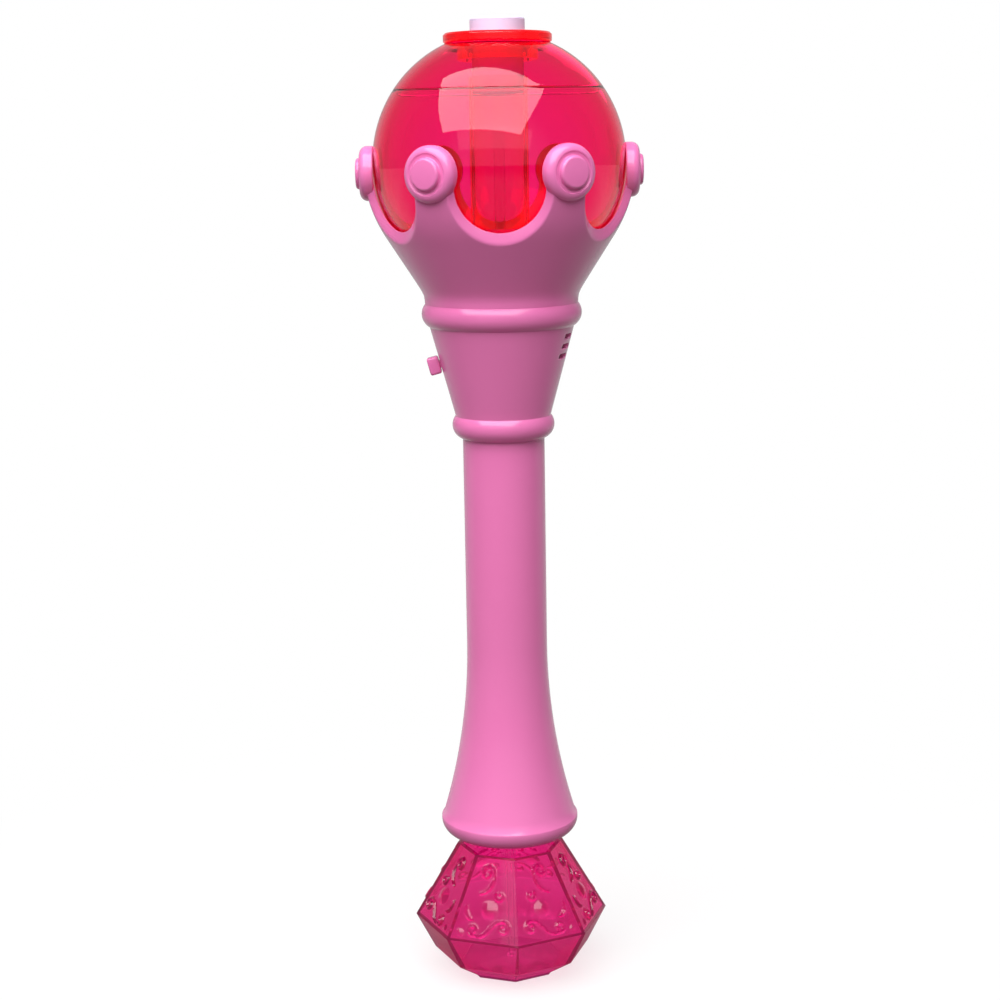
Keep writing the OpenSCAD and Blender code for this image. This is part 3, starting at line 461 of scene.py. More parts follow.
# Nitrile rubber, moulded: grey and dull.
RUBBER = Opaque("moulded_grey_rubber", "#4A4A4C", "#3C3C3E", (0.6, 0.75), 6.0, 0.35, 0.03)
# Zinc-plated steel, cold formed.
STEEL = Opaque("zinc_plated_steel", "#B9BCC0", "#A4A7AB", (0.28, 0.42), 4.0, 0.25, 0.01, metallic=1.0)
# Brass, turned: fine rings round the shaft.
BRASS = Opaque("turned_brass", "#D8B25A", "#C79F48", (0.22, 0.34), 4.0, 0.3, 0.008, metallic=1.0, stretch=(1, 1, 4))
# Drawn steel can of the motor, lengthwise draw marks.
MOTOR_CAN = Opaque("drawn_steel_can", "#A9ADB3", "#9599A0", (0.3, 0.45), 8.0, 0.5, 0.01, metallic=1.0,
                   stretch=(4, 4, 0.5))
# Shrunk vinyl sleeve of the cells, glossy and plain.
CELL_SLEEVE = Opaque("vinyl_cell_sleeve", "#3F6E4E", "#376346", (0.25, 0.35), 14.0, 0.7, 0.01)
# Glass-fibre board with solder mask: fine weave under green lacquer.
BOARD = Opaque("green_solder_mask", "#2F7A4B", "#276B41", (0.3, 0.45), 5.0, 0.45, 0.02)
# Epoxy lamp lens, cast and milky.
LAMP_EPOXY = Clear("milky_lamp_epoxy", "#FFF1F6", "#F4EEF0", 4.0, (0.1, 0.2), 3.0, 0.01, "#FFE0EC", 0.1, 1.54)
# Soft vinyl tubes, extruded clear.
CLEAR_VINYL = Clear("clear_vinyl_tube", "#FFFFFF", "#F6F2F2", 4.0, (0.05, 0.1), 6.0, 0.01, ior=1.1)
# Black acetal of the switch body: moulded, fine spark-eroded texture.
BLACK_ACETAL = Opaque("textured_black_acetal", "#2A2A2C", "#222224", (0.5, 0.62), 6.0, 0.4, 0.02)


# Handle


@dataclass(frozen=True)
class Opening:
    """A cut through the shell wall.

    Attributes:
        facing: direction of the cut in degrees about Z.
        across: middle of the cut across that direction.
        height: middle of the cut along Z.
        half_w: half width across.
        half_h: half height.
        corner: radius of its corners.
        span: angles about Z of the columns that bound it.
        rows: heights of the rows that bound it.
        lip: rounding of its outer edge.
    """

    facing: float
    across: float
    height: float
    half_w: float
    half_h: float
    corner: float
    span: tuple[float, float]
    rows: tuple[float, float]
    lip: float = 0.35

    def near(self, angles: Array) -> Array:
        """The angles as numbers within half a turn of the facing."""
        return (angles - self.facing + 180) % 360 - 180 + self.facing


@dataclass
class Handle:
    """The two shells of the handle, beads and cone, their parting line, vents, switch slot, door and screw holes."""

    wall: float = 2.0
    rim_mid: tuple[float, float] = (20.479, 61.5)
    rim_round: float = 6.0
    grip_r: float = 15.4
    flare_top_z: float = 131.5
    flare_arc: float = 232.252
    flare_tilt: float = 17.5415
    # Middle of each bead's arc, its radius, and the angles where it starts and ends.
    low_bead: tuple[float, ...] = (13.8, 216.0, 5.4, -72.8, 40.6)
    top_bead: tuple[float, ...] = (24.2, 257.8, 5.6, -61.2, 41.4)
    cone_low: tuple[float, float] = (17.9, 219.514)
    cone_top: tuple[float, float] = (26.9, 252.894)
    crown_z: float = 261.504
    crown_r: float = 28.4
    foot: tuple[tuple[float, float], ...] = ((18.479, 57.5), (18.479, 55.8), (18.779, 55.5))
    grip_end_z: float = 209.0
    chamber_z: tuple[float, float] = (211.4, 211.6)
    chamber_r: float = 15.6
    groove: float = 0.3
    groove_w: float = 0.45
    vent_z: float = 241.25
    vent_step: float = 3.7
    vent_h: float = 1.7
    vent_w: float = 6.7
    vent_y: float = 8.35
    vent_span: tuple[float, float] = (8.0, 32.5)
    slot: Opening = Opening(LEFT, 0, 241.0, 2.0, 4.2, 0.5, (171, 189), (235.2, 246.8))
    door_w: float = 16.3
    door_span: tuple[float, float] = (78.6, 186.0)
    door_gap: float = 0.3
    door_cells: tuple[tuple[float, float], tuple[float, float]] = ((55.5, 124.5), (74.6, 190.0))
    bore_r: float = 2.3
    bore_wall: float = 1.1
    bore_floor: float = 5.0
    # Sideways place and height of each screw, and the angle where the cells left out for it end.
    screws: tuple[tuple[float, float, float], ...] = (
        (15, 78, 55.5), (-15, 78, 55.5), (9.5, 197, 66.0), (-9.5, 197, 66.0), (14, 227.5, 55.5), (-14, 227.5, 55.5))
    screw_from: float = 34.5
    screw_reach: float = 3.3
    max_turn: float = 2.6
    max_rise: float = 4.0
    openings: list[Opening] = field(default_factory=list)

    def __post_init__(self) -> None:
        """Lists the openings and works out the outline."""
        for k in range(3):
            mid = self.vent_z + k * self.vent_step + self.vent_h / 2
            half = self.vent_step / 2
            for side in (-1, 1):
                span = tuple(sorted(side * a for a in self.vent_span))
                self.openings.append(Opening(RIGHT, side * self.vent_y, mid, self.vent_w / 2, self.vent_h / 2, 0.3,
                                             span, (mid - half, mid + half)))
        self.openings.append(self.slot)
        low, high = self.door_span[0] - self.door_gap, self.door_span[1] + self.door_gap
        self.openings.append(Opening(BACK, 0, (low + high) / 2, self.door_w / 2 + self.door_gap, (high - low) / 2, 1.2,
                                     *self.door_cells))
        for x, z, outer in self.screws:
            span = (self.screw_from, outer) if x > 0 else (180 - outer, 180 - self.screw_from)
            self.openings.append(Opening(BACK, -x, z, self.bore_r, self.bore_r, self.bore_r - 0.001, span,
                                         (z - self.screw_reach, z + self.screw_reach), 0.3))
        path = self.outline()
        rising = np.maximum.accumulate(path[:, 1])
        self._out_z, keep = np.unique(rising, return_index=True)
        self._out_r = path[keep, 0]

    def outline(self) -> Array:
        """Outer outline from the rim's inner corner up: rim arc, flare arc, straight grip, beads and cone, filleted."""
        t = np.radians(np.linspace(self.flare_tilt, 0, 30))
        out, down = self.flare_arc * (1 - np.cos(t)), self.flare_arc * np.sin(t)
        flare = np.stack([self.grip_r + out, self.flare_top_z - down], 1)
        beads = [arc((r, z), *bend, 22) for r, z, *bend in (self.low_bead, self.top_bead)]
        rim = arc(self.rim_mid, self.rim_round, -90, self.flare_tilt, 18)[:-1]
        return fillet(np.concatenate([rim, flare, *beads]), 0.6, 5, limit=20)

    def outer(self, z: Array) -> Array:
        """Outer radius at a height, where the outline rises."""
        return np.interp(z, self._out_z, self._out_r)

    def inner(self, z: Array) -> Array:
        """Inner radius at a height: a wall inside the flare and grip, then the chamber and the cone."""
        heights = [self.rim_mid[1], *self.chamber_z, self.cone_low[1], self.cone_top[1], self.crown_z]
        low, top = self.cone_low[0] - self.wall, self.cone_top[0] - self.wall
        upper = np.interp(z, heights, [0, self.grip_r - self.wall, self.chamber_r, low, top, top])
        return np.where(z < self.chamber_z[0], self.outer(np.minimum(z, self.grip_end_z)) - self.wall, upper)

    def columns(self) -> Array:
        """Angles of the columns: the borders of all openings, close lines at the parting, no step over max_turn."""
        ends = {((a + 180) % 360) - 180 for o in self.openings for a in o.span}
        marks = np.array(sorted(ends | {-LEFT, RIGHT, LEFT}))
        near = np.array([0.25, 0.5, 0.85, 1.3])
        lines = np.concatenate([stepped(marks, self.max_turn), near, -near, 180 - near, near - 180])
        return np.unique(np.round(lines, 5))

    def rows(self) -> Array:
        """Heights of the rows: the outline's own, the borders of all openings, no step over max_rise."""
        fixed = np.concatenate([self._out_z] + [np.linspace(*o.rows, 7 if o.half_h < 5 else 30) for o in self.openings])
        fixed = np.unique(np.round(fixed, 4))
        fixed = np.unique(np.concatenate([fixed, stepped(fixed, self.max_rise)]))
        keep = np.concatenate([[True], np.diff(fixed) > 0.02])
        return fixed[keep]

    def dip(self, theta: Array, r: Array) -> Array:
        """Depth of the parting groove: groove * (1 - distance from the parting / groove_w) ^ 1.5."""
        near = np.abs(np.sin(np.radians(theta))) * r
        return self.groove * np.clip(1 - near / self.groove_w, 0, 1) ** 1.5

    def skin(self, theta: Array, z: Array, depth: float) -> Array:
        """Point of the wall: radius between the outer (depth 0) and inner (1) ones, with the parting groove cut in."""
        outer = self.outer(z)
        radius = (outer - self.dip(theta, outer)) * (1 - depth) + self.inner(z) * depth
        return polar(radius, np.radians(theta), z)

    def cut(self, hole: Opening, columns: Array, rows: Array) -> Patch:
        """Rings from the border of the removed cells to the hole's round-cornered loop, over its lip and inwards.

        A border point (a, b) in -1..1 goes to (a * half_w, b * half_h), and points in a corner's square are pulled onto
        the corner's circle. Along the cut the sideways distance stays, so the angle is facing + asin(across / radius).

        Args:
            hole: the opening.
            columns: angles of the sheet.
            rows: heights of the sheet.

        Returns:
            One patch from the outer border to the inner one.
        """
        wide = hole.near(columns)
        u = np.sort(wide[(wide > hole.span[0] - 1e-3) & (wide < hole.span[1] + 1e-3)])
        if hole.span[1] > 180:
            u = np.unique(np.concatenate([u, [180.0]]))
        v = rows[(rows > hole.rows[0] - 1e-3) & (rows < hole.rows[1] + 1e-3)]
        theta = np.concatenate([u, np.full(len(v) - 1, u[-1]), u[::-1][1:], np.full(len(v) - 2, u[0])])
        z = np.concatenate([np.full(len(u), v[0]), v[1:], np.full(len(u) - 1, v[-1]), v[::-1][1:-1]])
        a = np.clip(2 * (theta - u[0]) / (u[-1] - u[0]) - 1, -1, 1)
        b = np.clip(2 * (z - v[0]) / (v[-1] - v[0]) - 1, -1, 1)

        def loop(grow: float) -> tuple[Array, Array]:
            """Sideways distance and height of the hole's loop, grown by a margin."""
            half = np.array([hole.half_w + grow, hole.half_h + grow])
            point = np.stack([a, b], 1) * half
            corner = hole.corner + grow
            core = np.clip(point, -(half - corner), half - corner)
            out = point - core
            size = np.linalg.norm(out, axis=1, keepdims=True)
            point = core + out * np.where(size > 1e-9, corner / np.maximum(size, 1e-9), 0)
            return hole.across + point[:, 0], hole.height + point[:, 1]

        def angle(side: Array, radius: Array) -> Array:
            """Angle about Z of a point at a sideways distance."""
            return hole.facing + np.degrees(np.arcsin(np.clip(side / radius, -1, 1)))

        rings = [self.skin(theta, z, 0.0)]
        side, height = loop(hole.lip)
        edge = angle(side, self.outer(height))
        for s in (0.5, 1.0):
            rings.append(self.skin(theta + s * (edge - theta), z + s * (height - z), 0.0))
        for beta in np.radians([30, 60, 90]):
            side, height = loop(hole.lip * (1 - math.sin(beta)))
            depth = hole.lip * (1 - math.cos(beta)) / self.wall
            rings.append(self.skin(angle(side, self.outer(height) - depth * self.wall), height, depth))
        rings += [self.skin(angle(side, self.inner(height)), height, 1.0), self.skin(theta, z, 1.0)]
        return grid(np.stack(rings), wrap_v=True)

    def shells(self) -> Patch:
        """Outer and inner sheets with the cells of the openings left out, the rings of the openings, and both ends."""
        columns, rows = self.columns(), self.rows()
        rows = rows[(rows >= self.rim_mid[1]) & (rows <= self.crown_z)]
        theta, z = np.meshgrid(columns, rows)
        mid_c, mid_r = (columns[1:] + columns[:-1]) / 2, (rows[1:] + rows[:-1]) / 2
        open_cell = np.zeros((len(mid_r), len(mid_c)), bool)
        patches = []
        for hole in self.openings:
            wide = hole.near(mid_c)
            in_u = (wide > hole.span[0]) & (wide < hole.span[1])
            in_v = (mid_r > hole.rows[0]) & (mid_r < hole.rows[1])
            open_cell |= np.outer(in_v, in_u)
            patches.append(self.cut(hole, columns, rows))
        for depth in (0.0, 1.0):
            sheet = grid(self.skin(theta, z, depth))
            patches.append(Patch(sheet.points, sheet.quads[~open_cell.ravel()]))
        path = self.outline()
        rim = path[path[:, 1] <= self.rim_mid[1] + 1e-6]
        inner_rim = arc(self.rim_mid, self.rim_round - self.wall, 0, -90, 8)
        inner_rim[0] = self.inner(self.rim_mid[1]), self.rim_mid[1]
        low, top = ([[[side(z), z]] for side in (self.inner, self.outer)] for z in (rows[0], rows[-1]))
        patches.append(self.collar_of(np.concatenate([low[0], inner_rim, self.foot, rim, low[1]]), columns))
        patches.append(self.collar_of(np.concatenate([top[1], top[0]]), columns))
        return joined(patches)

    def collar_of(self, path: Array, columns: Array) -> Patch:
        """Turns an open path about Z through the columns, keeping the parting groove on its outer part."""
        r, z = path[:, :1], path[:, 1:]
        outside = (r > self.rim_mid[0]) & (z <= self.rim_mid[1]) | (r > self.crown_r - 0.5)
        return grid(polar(r - np.where(outside, self.dip(columns, r), 0), np.radians(columns), z))

    def bores(self) -> Patch:
        """Tubes under the screw holes: a round section carried along Y from the wall down to the screw's seat."""
        loop = box_loop(1, 1, 0.999, 7)
        parts = []
        for x, z, _ in self.screws:
            start = math.sqrt(self.inner(z) ** 2 - (abs(x) + self.bore_r) ** 2) + 0.3
            radii = [self.bore_r, self.bore_r + self.bore_wall, self.bore_r + self.bore_wall, self.bore_r]
            depths = [self.bore_floor, self.bore_floor, start, start]
            rings = [np.stack([x + r * loop[:, 0], np.full(len(loop), y), z + r * loop[:, 1]], 1)
                     for r, y in zip(radii, depths)]
            parts.append(grid(np.stack(rings), wrap_u=True, wrap_v=True))
        return joined(parts)

    def build(self, material: Material) -> None:
        """Splits the wall at the parting into the front and rear shells and makes both."""
        whole = self.shells()
        side = whole.points[whole.quads][:, :, 1].mean(1)
        front, rear = Patch(whole.points, whole.quads[side < 0]), Patch(whole.points, whole.quads[side >= 0])
        rear = joined([rear, self.bores()])
        make_piece("handle_front", front, Body.WAND, Slot.PINK, material, ("front_shell",), fill=True)
        make_piece("handle_rear", rear, Body.WAND, Slot.PINK, material, ("rear_shell",), fill=True)


@dataclass
class SwitchKnob:
    """The sliding tab on the cone, with its stem through the slot."""

    radius: float = 23.154
    height: float = 239.0
    tilt: float = 15.0896
    # Sizes of the tab, its stem and the foot behind the wall, as pillow takes them.
    blocks: tuple[tuple[float, ...], ...] = (
        (2.75, 3.3, 0.3, 4.6, 0.9, 0.7), (1.6, 1.4, -4.4, 0.6, 0.4, 0.2), (3.2, 3.0, -4.4, -2.6, 0.4, 0.2))

    def build(self, material: Material) -> None:
        """Makes the blocks of the knob and turns them onto the slope of the cone."""
        turn = turn_z(LEFT) @ turn_y(self.tilt)
        shift = turn_z(LEFT) @ np.array([self.radius, 0, self.height])
        knob = joined([pillow(*b) for b in self.blocks]).moved(turn, shift)
        make_piece("switch_tab", knob, Body.SWITCH, Slot.PINK, material, ("switch_knob",))


# Crown and globe


@dataclass
class Crown:
    """The cup with six points and lipped scallops, and the buttons on its points."""

    foot_r: float = 28.4
    foot_z: float = 261.504
    foot_h: float = 3.2
    foot_soft: float = 2.0
    middle_z: float = 313.004
    out_r: float = 50.0
    wall: float = 3.0
    scallop_r: float = 16.0
    scallop_z: float = 304.9
    rim: float = 4.6
    rim_side: float = 0.65
    rim_soft: float = 0.14
    inner_rim: float = 0.4
    tip_h: float = 12.6
    points: int = 6
    pearl_z: float = 309.504

    def radius(self, z: Array, depth: Union[float, Array]) -> Array:
        """Radius at a height and a depth into the wall: a cone tangent to a sphere, with a soft turn at the foot.

        The cone leaves the foot at (foot_r, foot_z + foot_h) and touches the sphere of out_r; at a depth both move in
        along their normals.
        """
        rise = self.middle_z - self.foot_z - self.foot_h
        far = math.hypot(self.foot_r, rise)
        slope = math.atan2(rise, -self.foot_r) - math.asin(self.out_r / far)
        run = math.sqrt(far ** 2 - self.out_r ** 2)
        touch = self.foot_z + self.foot_h + run * math.sin(slope)
        x = z - self.foot_z - self.foot_h
        soft = 0.5 * (x + np.sqrt(x ** 2 + self.foot_soft))
        cone = self.foot_r + soft / math.tan(slope) - depth / math.sin(slope)
        ball = np.sqrt(np.maximum((self.out_r - depth) ** 2 - (z - self.middle_z) ** 2, 1.0))
        return np.where(z < touch + depth * math.cos(slope), cone, ball)

    def edge(self, share: Array, ring: float, depth: float) -> tuple[Array, Array]:
        """Half angle of a tooth and height along its border.

        For a share up to 1 the border is the scallop about the middle between two teeth, from its lowest point to its
        side: half an ellipse, ring deep, that widens by rim_side of what ring adds to the scallop's radius. From 1 to 2
        it is a quarter ellipse that closes the tip.

        Args:
            share: place along the border, 0 to 2.
            ring: depth of the scallop.
            depth: depth into the wall.

        Returns:
            Half angles in degrees and heights.
        """
        half = 180 / self.points
        wide = self.scallop_r + self.rim_side * (ring - self.scallop_r)
        a = np.radians(90 * np.minimum(share, 1))
        z = self.scallop_z - ring * np.cos(a)
        side = np.degrees(np.arcsin(wide * np.sin(a) / self.radius(z, depth)))
        top = np.radians(90 * np.maximum(share - 1, 0))
        waist_r = float(self.radius(np.array(self.scallop_z), depth))
        waist = waist_r * math.sin(math.radians(half - math.degrees(math.asin(wide / waist_r))))
        z_tip = self.scallop_z + (self.tip_h - wide + self.scallop_r) * np.sin(top)
        tip = np.degrees(np.arcsin(waist * np.cos(top) / self.radius(z_tip, depth)))
        return np.where(share <= 1, half - side, tip), np.where(share <= 1, z, z_tip)

    def tooth(self) -> Patch:
        """One sixth of the crown: outer sheet, slanted lip with a soft outer edge on both sides, inner sheet and foot.

        Across the lip the depth is sqrt(s^2 + soft^2) - soft, scaled to the wall: level with the outer sheet at first,
        then a straight slant.
        """
        u = np.linspace(-1, 1, 25)
        share = np.concatenate([np.linspace(0, 1, 25), np.linspace(1, 2, 17)[1:]])
        half = 180 / self.points

        def place(angle: Array, z: Array, depth: Union[float, Array]) -> Array:
            """Point of the wall at an angle in degrees."""
            return polar(self.radius(z, depth), np.radians(angle), z)

        patches = []
        for ring, depth in ((self.scallop_r + self.rim, 0.0), (self.scallop_r + self.inner_rim, self.wall)):
            low = np.linspace(self.foot_z, self.scallop_z - ring, 16)[:-1]
            angle, z = self.edge(share, ring, depth)
            angle, z = np.concatenate([np.full(len(low), half), angle]), np.concatenate([low, z])
            patches.append(grid(place(angle[:, None] * u[None], z[:, None], depth)))
        across = np.linspace(0, 1, 13)
        rings = self.scallop_r + self.rim * (1 - across)
        slant = np.sqrt(across ** 2 + self.rim_soft ** 2) - self.rim_soft
        depths = (self.wall - self.inner_rim) * slant / slant[-1]
        gamma = np.radians(np.linspace(0, 90, 4)[1:])
        rings = np.concatenate([rings, self.scallop_r + self.inner_rim * (1 - np.cos(gamma))])
        depths = np.concatenate([depths, self.wall - self.inner_rim * (1 - np.sin(gamma))])
        for side in (-1, 1):
            rows = []
            for ring, depth in zip(rings, depths):
                angle, z = self.edge(share, ring, depth)
                rows.append(place(side * angle, z, depth))
            patches.append(grid(np.stack(rows)))
        patches.append(grid(place(half * u[None], np.full((2, 1), self.foot_z), np.array([[0.0], [self.wall]]))))
        return joined(patches)

    def button(self) -> Patch:
        """One button: a round-shouldered drum with a ring groove and a raised round face, turned about the X axis."""
        back = np.array([[0.0, 47.05], [6.0, 46.65], [9.6, 45.95], [10.0, 46.4]])
        shoulder = arc((7.1, 48.4), 2.9, 0, 86, 12)
        groove = np.array([[6.95, 50.95], [5.75, 50.85]])
        face = np.concatenate([arc((4.65, 51.7), 1.02, 0, 88, 7), [[0.0, 52.72]]])
        body = np.concatenate([back, shoulder, groove, face])
        drum = revolve(fillet(body, 0.35, 4, limit=25), 72, closed=False)
        return drum.moved(np.array([[0, 0, 1], [0, 1, 0], [-1, 0, 0]]), (0, 0, self.pearl_z))

    def build(self, material: Material) -> None:
        """Makes the crown and its six buttons."""
        turns = [turn_z(360 * k / self.points) for k in range(self.points)]
        cup, button = self.tooth(), self.button()
        for name, part, node in (("crown_cup", cup, "crown"), ("crown_buttons", button, "crown_pearls")):
            make_piece(name, joined([part.moved(t) for t in turns]), Body.WAND, Slot.PINK, material, (node,))


@dataclass
class Globe:
    """The clear globe in two parts with a fine seam, its collar and the nozzle."""

    middle_z: float = 313.004
    radius: float = 46.5
    wall: float = 2.0
    floor_z: float = 274.452
    seam_z: float = 339.004
    seam_gap: float = 0.03
    top_z: float = 355.49
    collar_top_z: float = 359.09
    nozzle_top_z: float = 364.29
    leg_x: float = 11.1
    columns: int = 160

    def zone(self, low: float, high: float, steps: int) -> Array:
        """Section of a spherical wall between two heights, outside up and inside down, with small rounded corners."""
        def side(r: float, forward: bool) -> Array:
            """Arc of one face of the wall."""
            a = [math.degrees(math.asin((z - self.middle_z) / self.radius)) for z in (low, high)]
            return arc((0, self.middle_z), r, *(a if forward else a[::-1]), steps)
        section = np.concatenate([side(self.radius, True), side(self.radius - self.wall, False)])
        return fillet(section, 0.12, 3, closed=True, limit=30)

    def build(self, clear: Material, thick: Material, pale: Material) -> None:
        """Makes the bowl, dome, collar and nozzle by turning their sections about Z."""
        bowl = revolve(self.zone(self.floor_z, self.seam_z - self.seam_gap, 60), self.columns)
        dome = revolve(self.zone(self.seam_z + self.seam_gap, self.top_z, 24), self.columns)
        make_piece("globe_lower", bowl, Body.WAND, Slot.GLOBE, clear, ("globe_bowl",))
        make_piece("globe_upper", dome, Body.WAND, Slot.GLOBE, clear, ("globe_dome",))
        t, b = self.collar_top_z, self.top_z
        ring = np.array([[13.1, b - 6], [14.8, b - 6], [14.8, b], [19.3, b], [19.8, b + 0.5], [19.8, t - 0.8],
                         [19.0, t], [15.6, t], [15.2, t - 0.5], [12.0, t - 0.5], [11.6, t], [10.2, t],
                         [10.2, t - 2.2], [13.1, t - 2.2]])
        collar = revolve(fillet(ring, 0.35, 4, closed=True), 128)
        make_piece("collar_ring", collar, Body.WAND, Slot.GLOBE, thick, ("globe_collar",))
        n = self.nozzle_top_z
        tube = np.array([[8.2, n - 26.8], [9.5, n - 26.8], [9.5, n - 9.6], [13, n - 9.6], [13, n - 7.5], [10, n - 7.5],
                         [10, n], [8.2, n]])
        leg = pillow(2.0, 3.0, -0.55, 0.55, 0.5, 0.25)
        legs = [leg.moved(np.eye(3), (x, 0, n - 12.1)) for x in (-self.leg_x, self.leg_x)]
        mouth = joined([revolve(fillet(tube, 0.8, 6, closed=True), 96)] + legs)
        make_piece("bubble_mouth", mouth, Body.WAND, Slot.NOZZLE, pale, ("bubble_nozzle",))


# Bottle


@dataclass
class Bottle:
    """The faceted gem bottle with raised scrolls and domes on its upper facets, and its threaded neck."""

    turn: float = 3.5
    sides: int = 8
    rings: tuple[tuple[float, float], ...] = ((19.0, 0.0), (19.0, 0.6), (30.2, 8.0), (37.5, 22.0), (20.5, 51.0))
    hollow: tuple[tuple[float, float], ...] = ((19.1, 1.8), (26.34, 7.95), (35.25, 22.0), (18.34, 49.2))
    neck_r: float = 13.5
    neck_bore: float = 11.3
    neck_top: float = 68.0
    thread_z: float = 58.0
    thread_pitch: float = 4.0
    thread_turns: float = 1.5
    thread_depth: float = 1.1
    thread_slope: float = 1.6
    thread_fade: float = 8.0
    edge: float = 0.1
    side_points: int = 62
    corner_steps: int = 5
    facet_span: tuple[float, float] = (23.2, 49.4)
    facet_rows: int = 68
    # Ornament of a facet, in millimetres across it and up its slope from the girdle.
    # Spirals: centre, radius, start and sweep in degrees, shrink and half width.
    spirals: tuple[tuple[float, ...], ...] = (
        (1.6, 26.6, 2.7, 180, -400, 0.68, 1.0), (-4.4, 18.2, 2.0, 40, -320, 0.6, 0.95),
        (-7.4, 6.6, 2.4, 70, 380, 0.65, 1.05), (4.4, 4.6, 2.2, 240, 360, 0.62, 1.0))
    # Bezier curves: four control points and half width.
    sweeps: tuple[tuple[float, ...], ...] = (
        (-1.1, 26.6, -1.8, 22.0, 0.2, 19.4, 3.4, 18.4, 1.05), (-6.6, 8.9, -2.6, 8.6, -2.2, 2.4, 2.6, 2.3, 1.1),
        (8.2, 13.6, 8.8, 11.0, 7.6, 8.6, 5.4, 8.4, 0.95))
    # Domes: centre, radius and height.
    domes: tuple[tuple[float, float, float, float], ...] = ((-0.8, 12.6, 3.5, 1.2), (9.6, 3.2, 1.4, 0.55))
    relief: float = 1.05
    # Plain margins at the foot, top and sides of a facet.
    margins: tuple[float, float, float] = (0.8, 1.2, 1.2)

    def around(self) -> tuple[Array, Array, Array]:
        """Unit loop round an eight-sided ring.

        Each side runs straight between the corners of an inner octagon moved out along the side's normal, and each
        corner is an arc about the inner octagon's corner.

        Returns:
            Corner direction, normal direction (both (n, 2)) and place along the side from -1 to 1 (nan on corners).
        """
        step = 2 * np.pi / self.sides
        base = math.radians(self.turn)
        k = np.arange(self.sides)[:, None]
        s = np.linspace(0, 1, self.side_points)[None]
        start, end = base + step * k, base + step * (k + 1)
        flat = (1 - s)[..., None] * unit(start) + s[..., None] * unit(end)
        normal = unit(start + step / 2) + 0 * flat
        bend = end + step * (np.linspace(-0.5, 0.5, self.corner_steps + 2)[1:-1])[None]
        spread = unit(bend)
        tips = unit(end) + 0 * spread
        along = np.concatenate([2 * s - 1 + 0 * k, np.full(bend.shape, np.nan)], 1)
        point = np.concatenate([flat, tips], 1).reshape(-1, 2)
        return point, np.concatenate([normal, spread], 1).reshape(-1, 2), along.reshape(-1)

    def strokes(self) -> tuple[Array, Array]:
        """Scrolls of one facet: points of their middle lines and half widths there.

        Each stroke is a spiral, centre + radius * (1 - shrink t) * (cos a, sin a) with a = start + sweep t, or a cubic
        Bezier curve. Widths taper towards both ends.
        """
        lines, widths = [], []
        t = np.linspace(0, 1, 70)
        for x, y, radius, start, sweep, shrink, width in self.spirals:
            angle = np.radians(start + sweep * t)
            lines.append(np.array([x, y]) + (radius * (1 - shrink * t))[:, None] * unit(angle))
            widths.append(width * (0.45 + 0.55 * np.sin(np.pi * np.clip(0.12 + 0.8 * t, 0, 1))))
        t = np.linspace(0, 1, 60)[:, None]
        s = 1 - t
        for *points, width in self.sweeps:
            p = np.array(points, float).reshape(4, 2)
            lines.append(s ** 3 * p[0] + 3 * t * s ** 2 * p[1] + 3 * t ** 2 * s * p[2] + t ** 3 * p[3])
            widths.append(width * (0.5 + 0.5 * np.sin(np.pi * t[:, 0])))
        return np.concatenate(lines), np.concatenate(widths)

    def raised(self, across: Array, up: Array) -> Array:
        """Height of the ornament at points of a facet.

        A stroke gives relief * (1 + cos(pi d / width)) / 2 at a distance d from its middle line, up to its half width,
        and a dome height * cos(pi d / 2 radius); the highest wins.
        """
        line, width = self.strokes()
        spot = np.stack([across.ravel(), up.ravel()], 1)
        gap = ((spot[:, None] - line[None]) ** 2).sum(2)
        near = np.clip(np.sqrt(gap) / width[None], 0, 1)
        best = np.max(self.relief * (0.5 + 0.5 * np.cos(np.pi * near)), 1)
        for x, y, r, h in self.domes:
            d = np.clip(np.hypot(spot[:, 0] - x, spot[:, 1] - y) / r, 0, 1)
            best = np.maximum(best, h * np.cos(np.pi * d / 2))
        return best.reshape(across.shape)

    def wall(self, path: Array, ornament: bool) -> Array:
        """Lattice of an eight-sided wall: each (corner radius, height) of the path gives one loop of around()."""
        point, normal, along = self.around()
        r, z = path[:, :1, None], path[:, 1:]
        soft = np.minimum(self.edge, 0.5 * r)
        flat = (r - soft / math.cos(math.pi / self.sides)) * point[None] + soft * normal[None]
        lattice = np.concatenate([flat, np.broadcast_to(z[:, :, None], flat.shape[:2] + (1,))], 2)
        if ornament:
            (girdle_r, girdle_z), (top_r, top_z) = self.rings[-2:]
            drop = (girdle_r - top_r) * math.cos(math.pi / self.sides)
            slope = math.hypot(drop, top_z - girdle_z)
            up = (z - girdle_z) / (top_z - girdle_z) * slope
            half = (r[:, :, 0] - soft[:, :, 0]) * math.sin(math.pi / self.sides)
            across = np.nan_to_num(along, nan=9.0)[None] * half
            side = np.arange(len(along)) // (self.side_points + self.corner_steps)
            mirrored = np.where(side % 2 == 0, 1.0, -1.0)[None] * across
            foot, top, sides = self.margins
            inside = np.isfinite(along)[None] & (up > foot) & (up < slope - top)
            fade = np.clip((half - np.abs(across)) / sides, 0, 1)
            lift = np.where(inside, self.raised(mirrored, up + 0 * mirrored) * fade, 0)
            lattice[..., :2] += lift[..., None] * ((top_z - girdle_z) / slope) * normal[None]
            lattice[..., 2] += lift * (drop / slope)
        return lattice

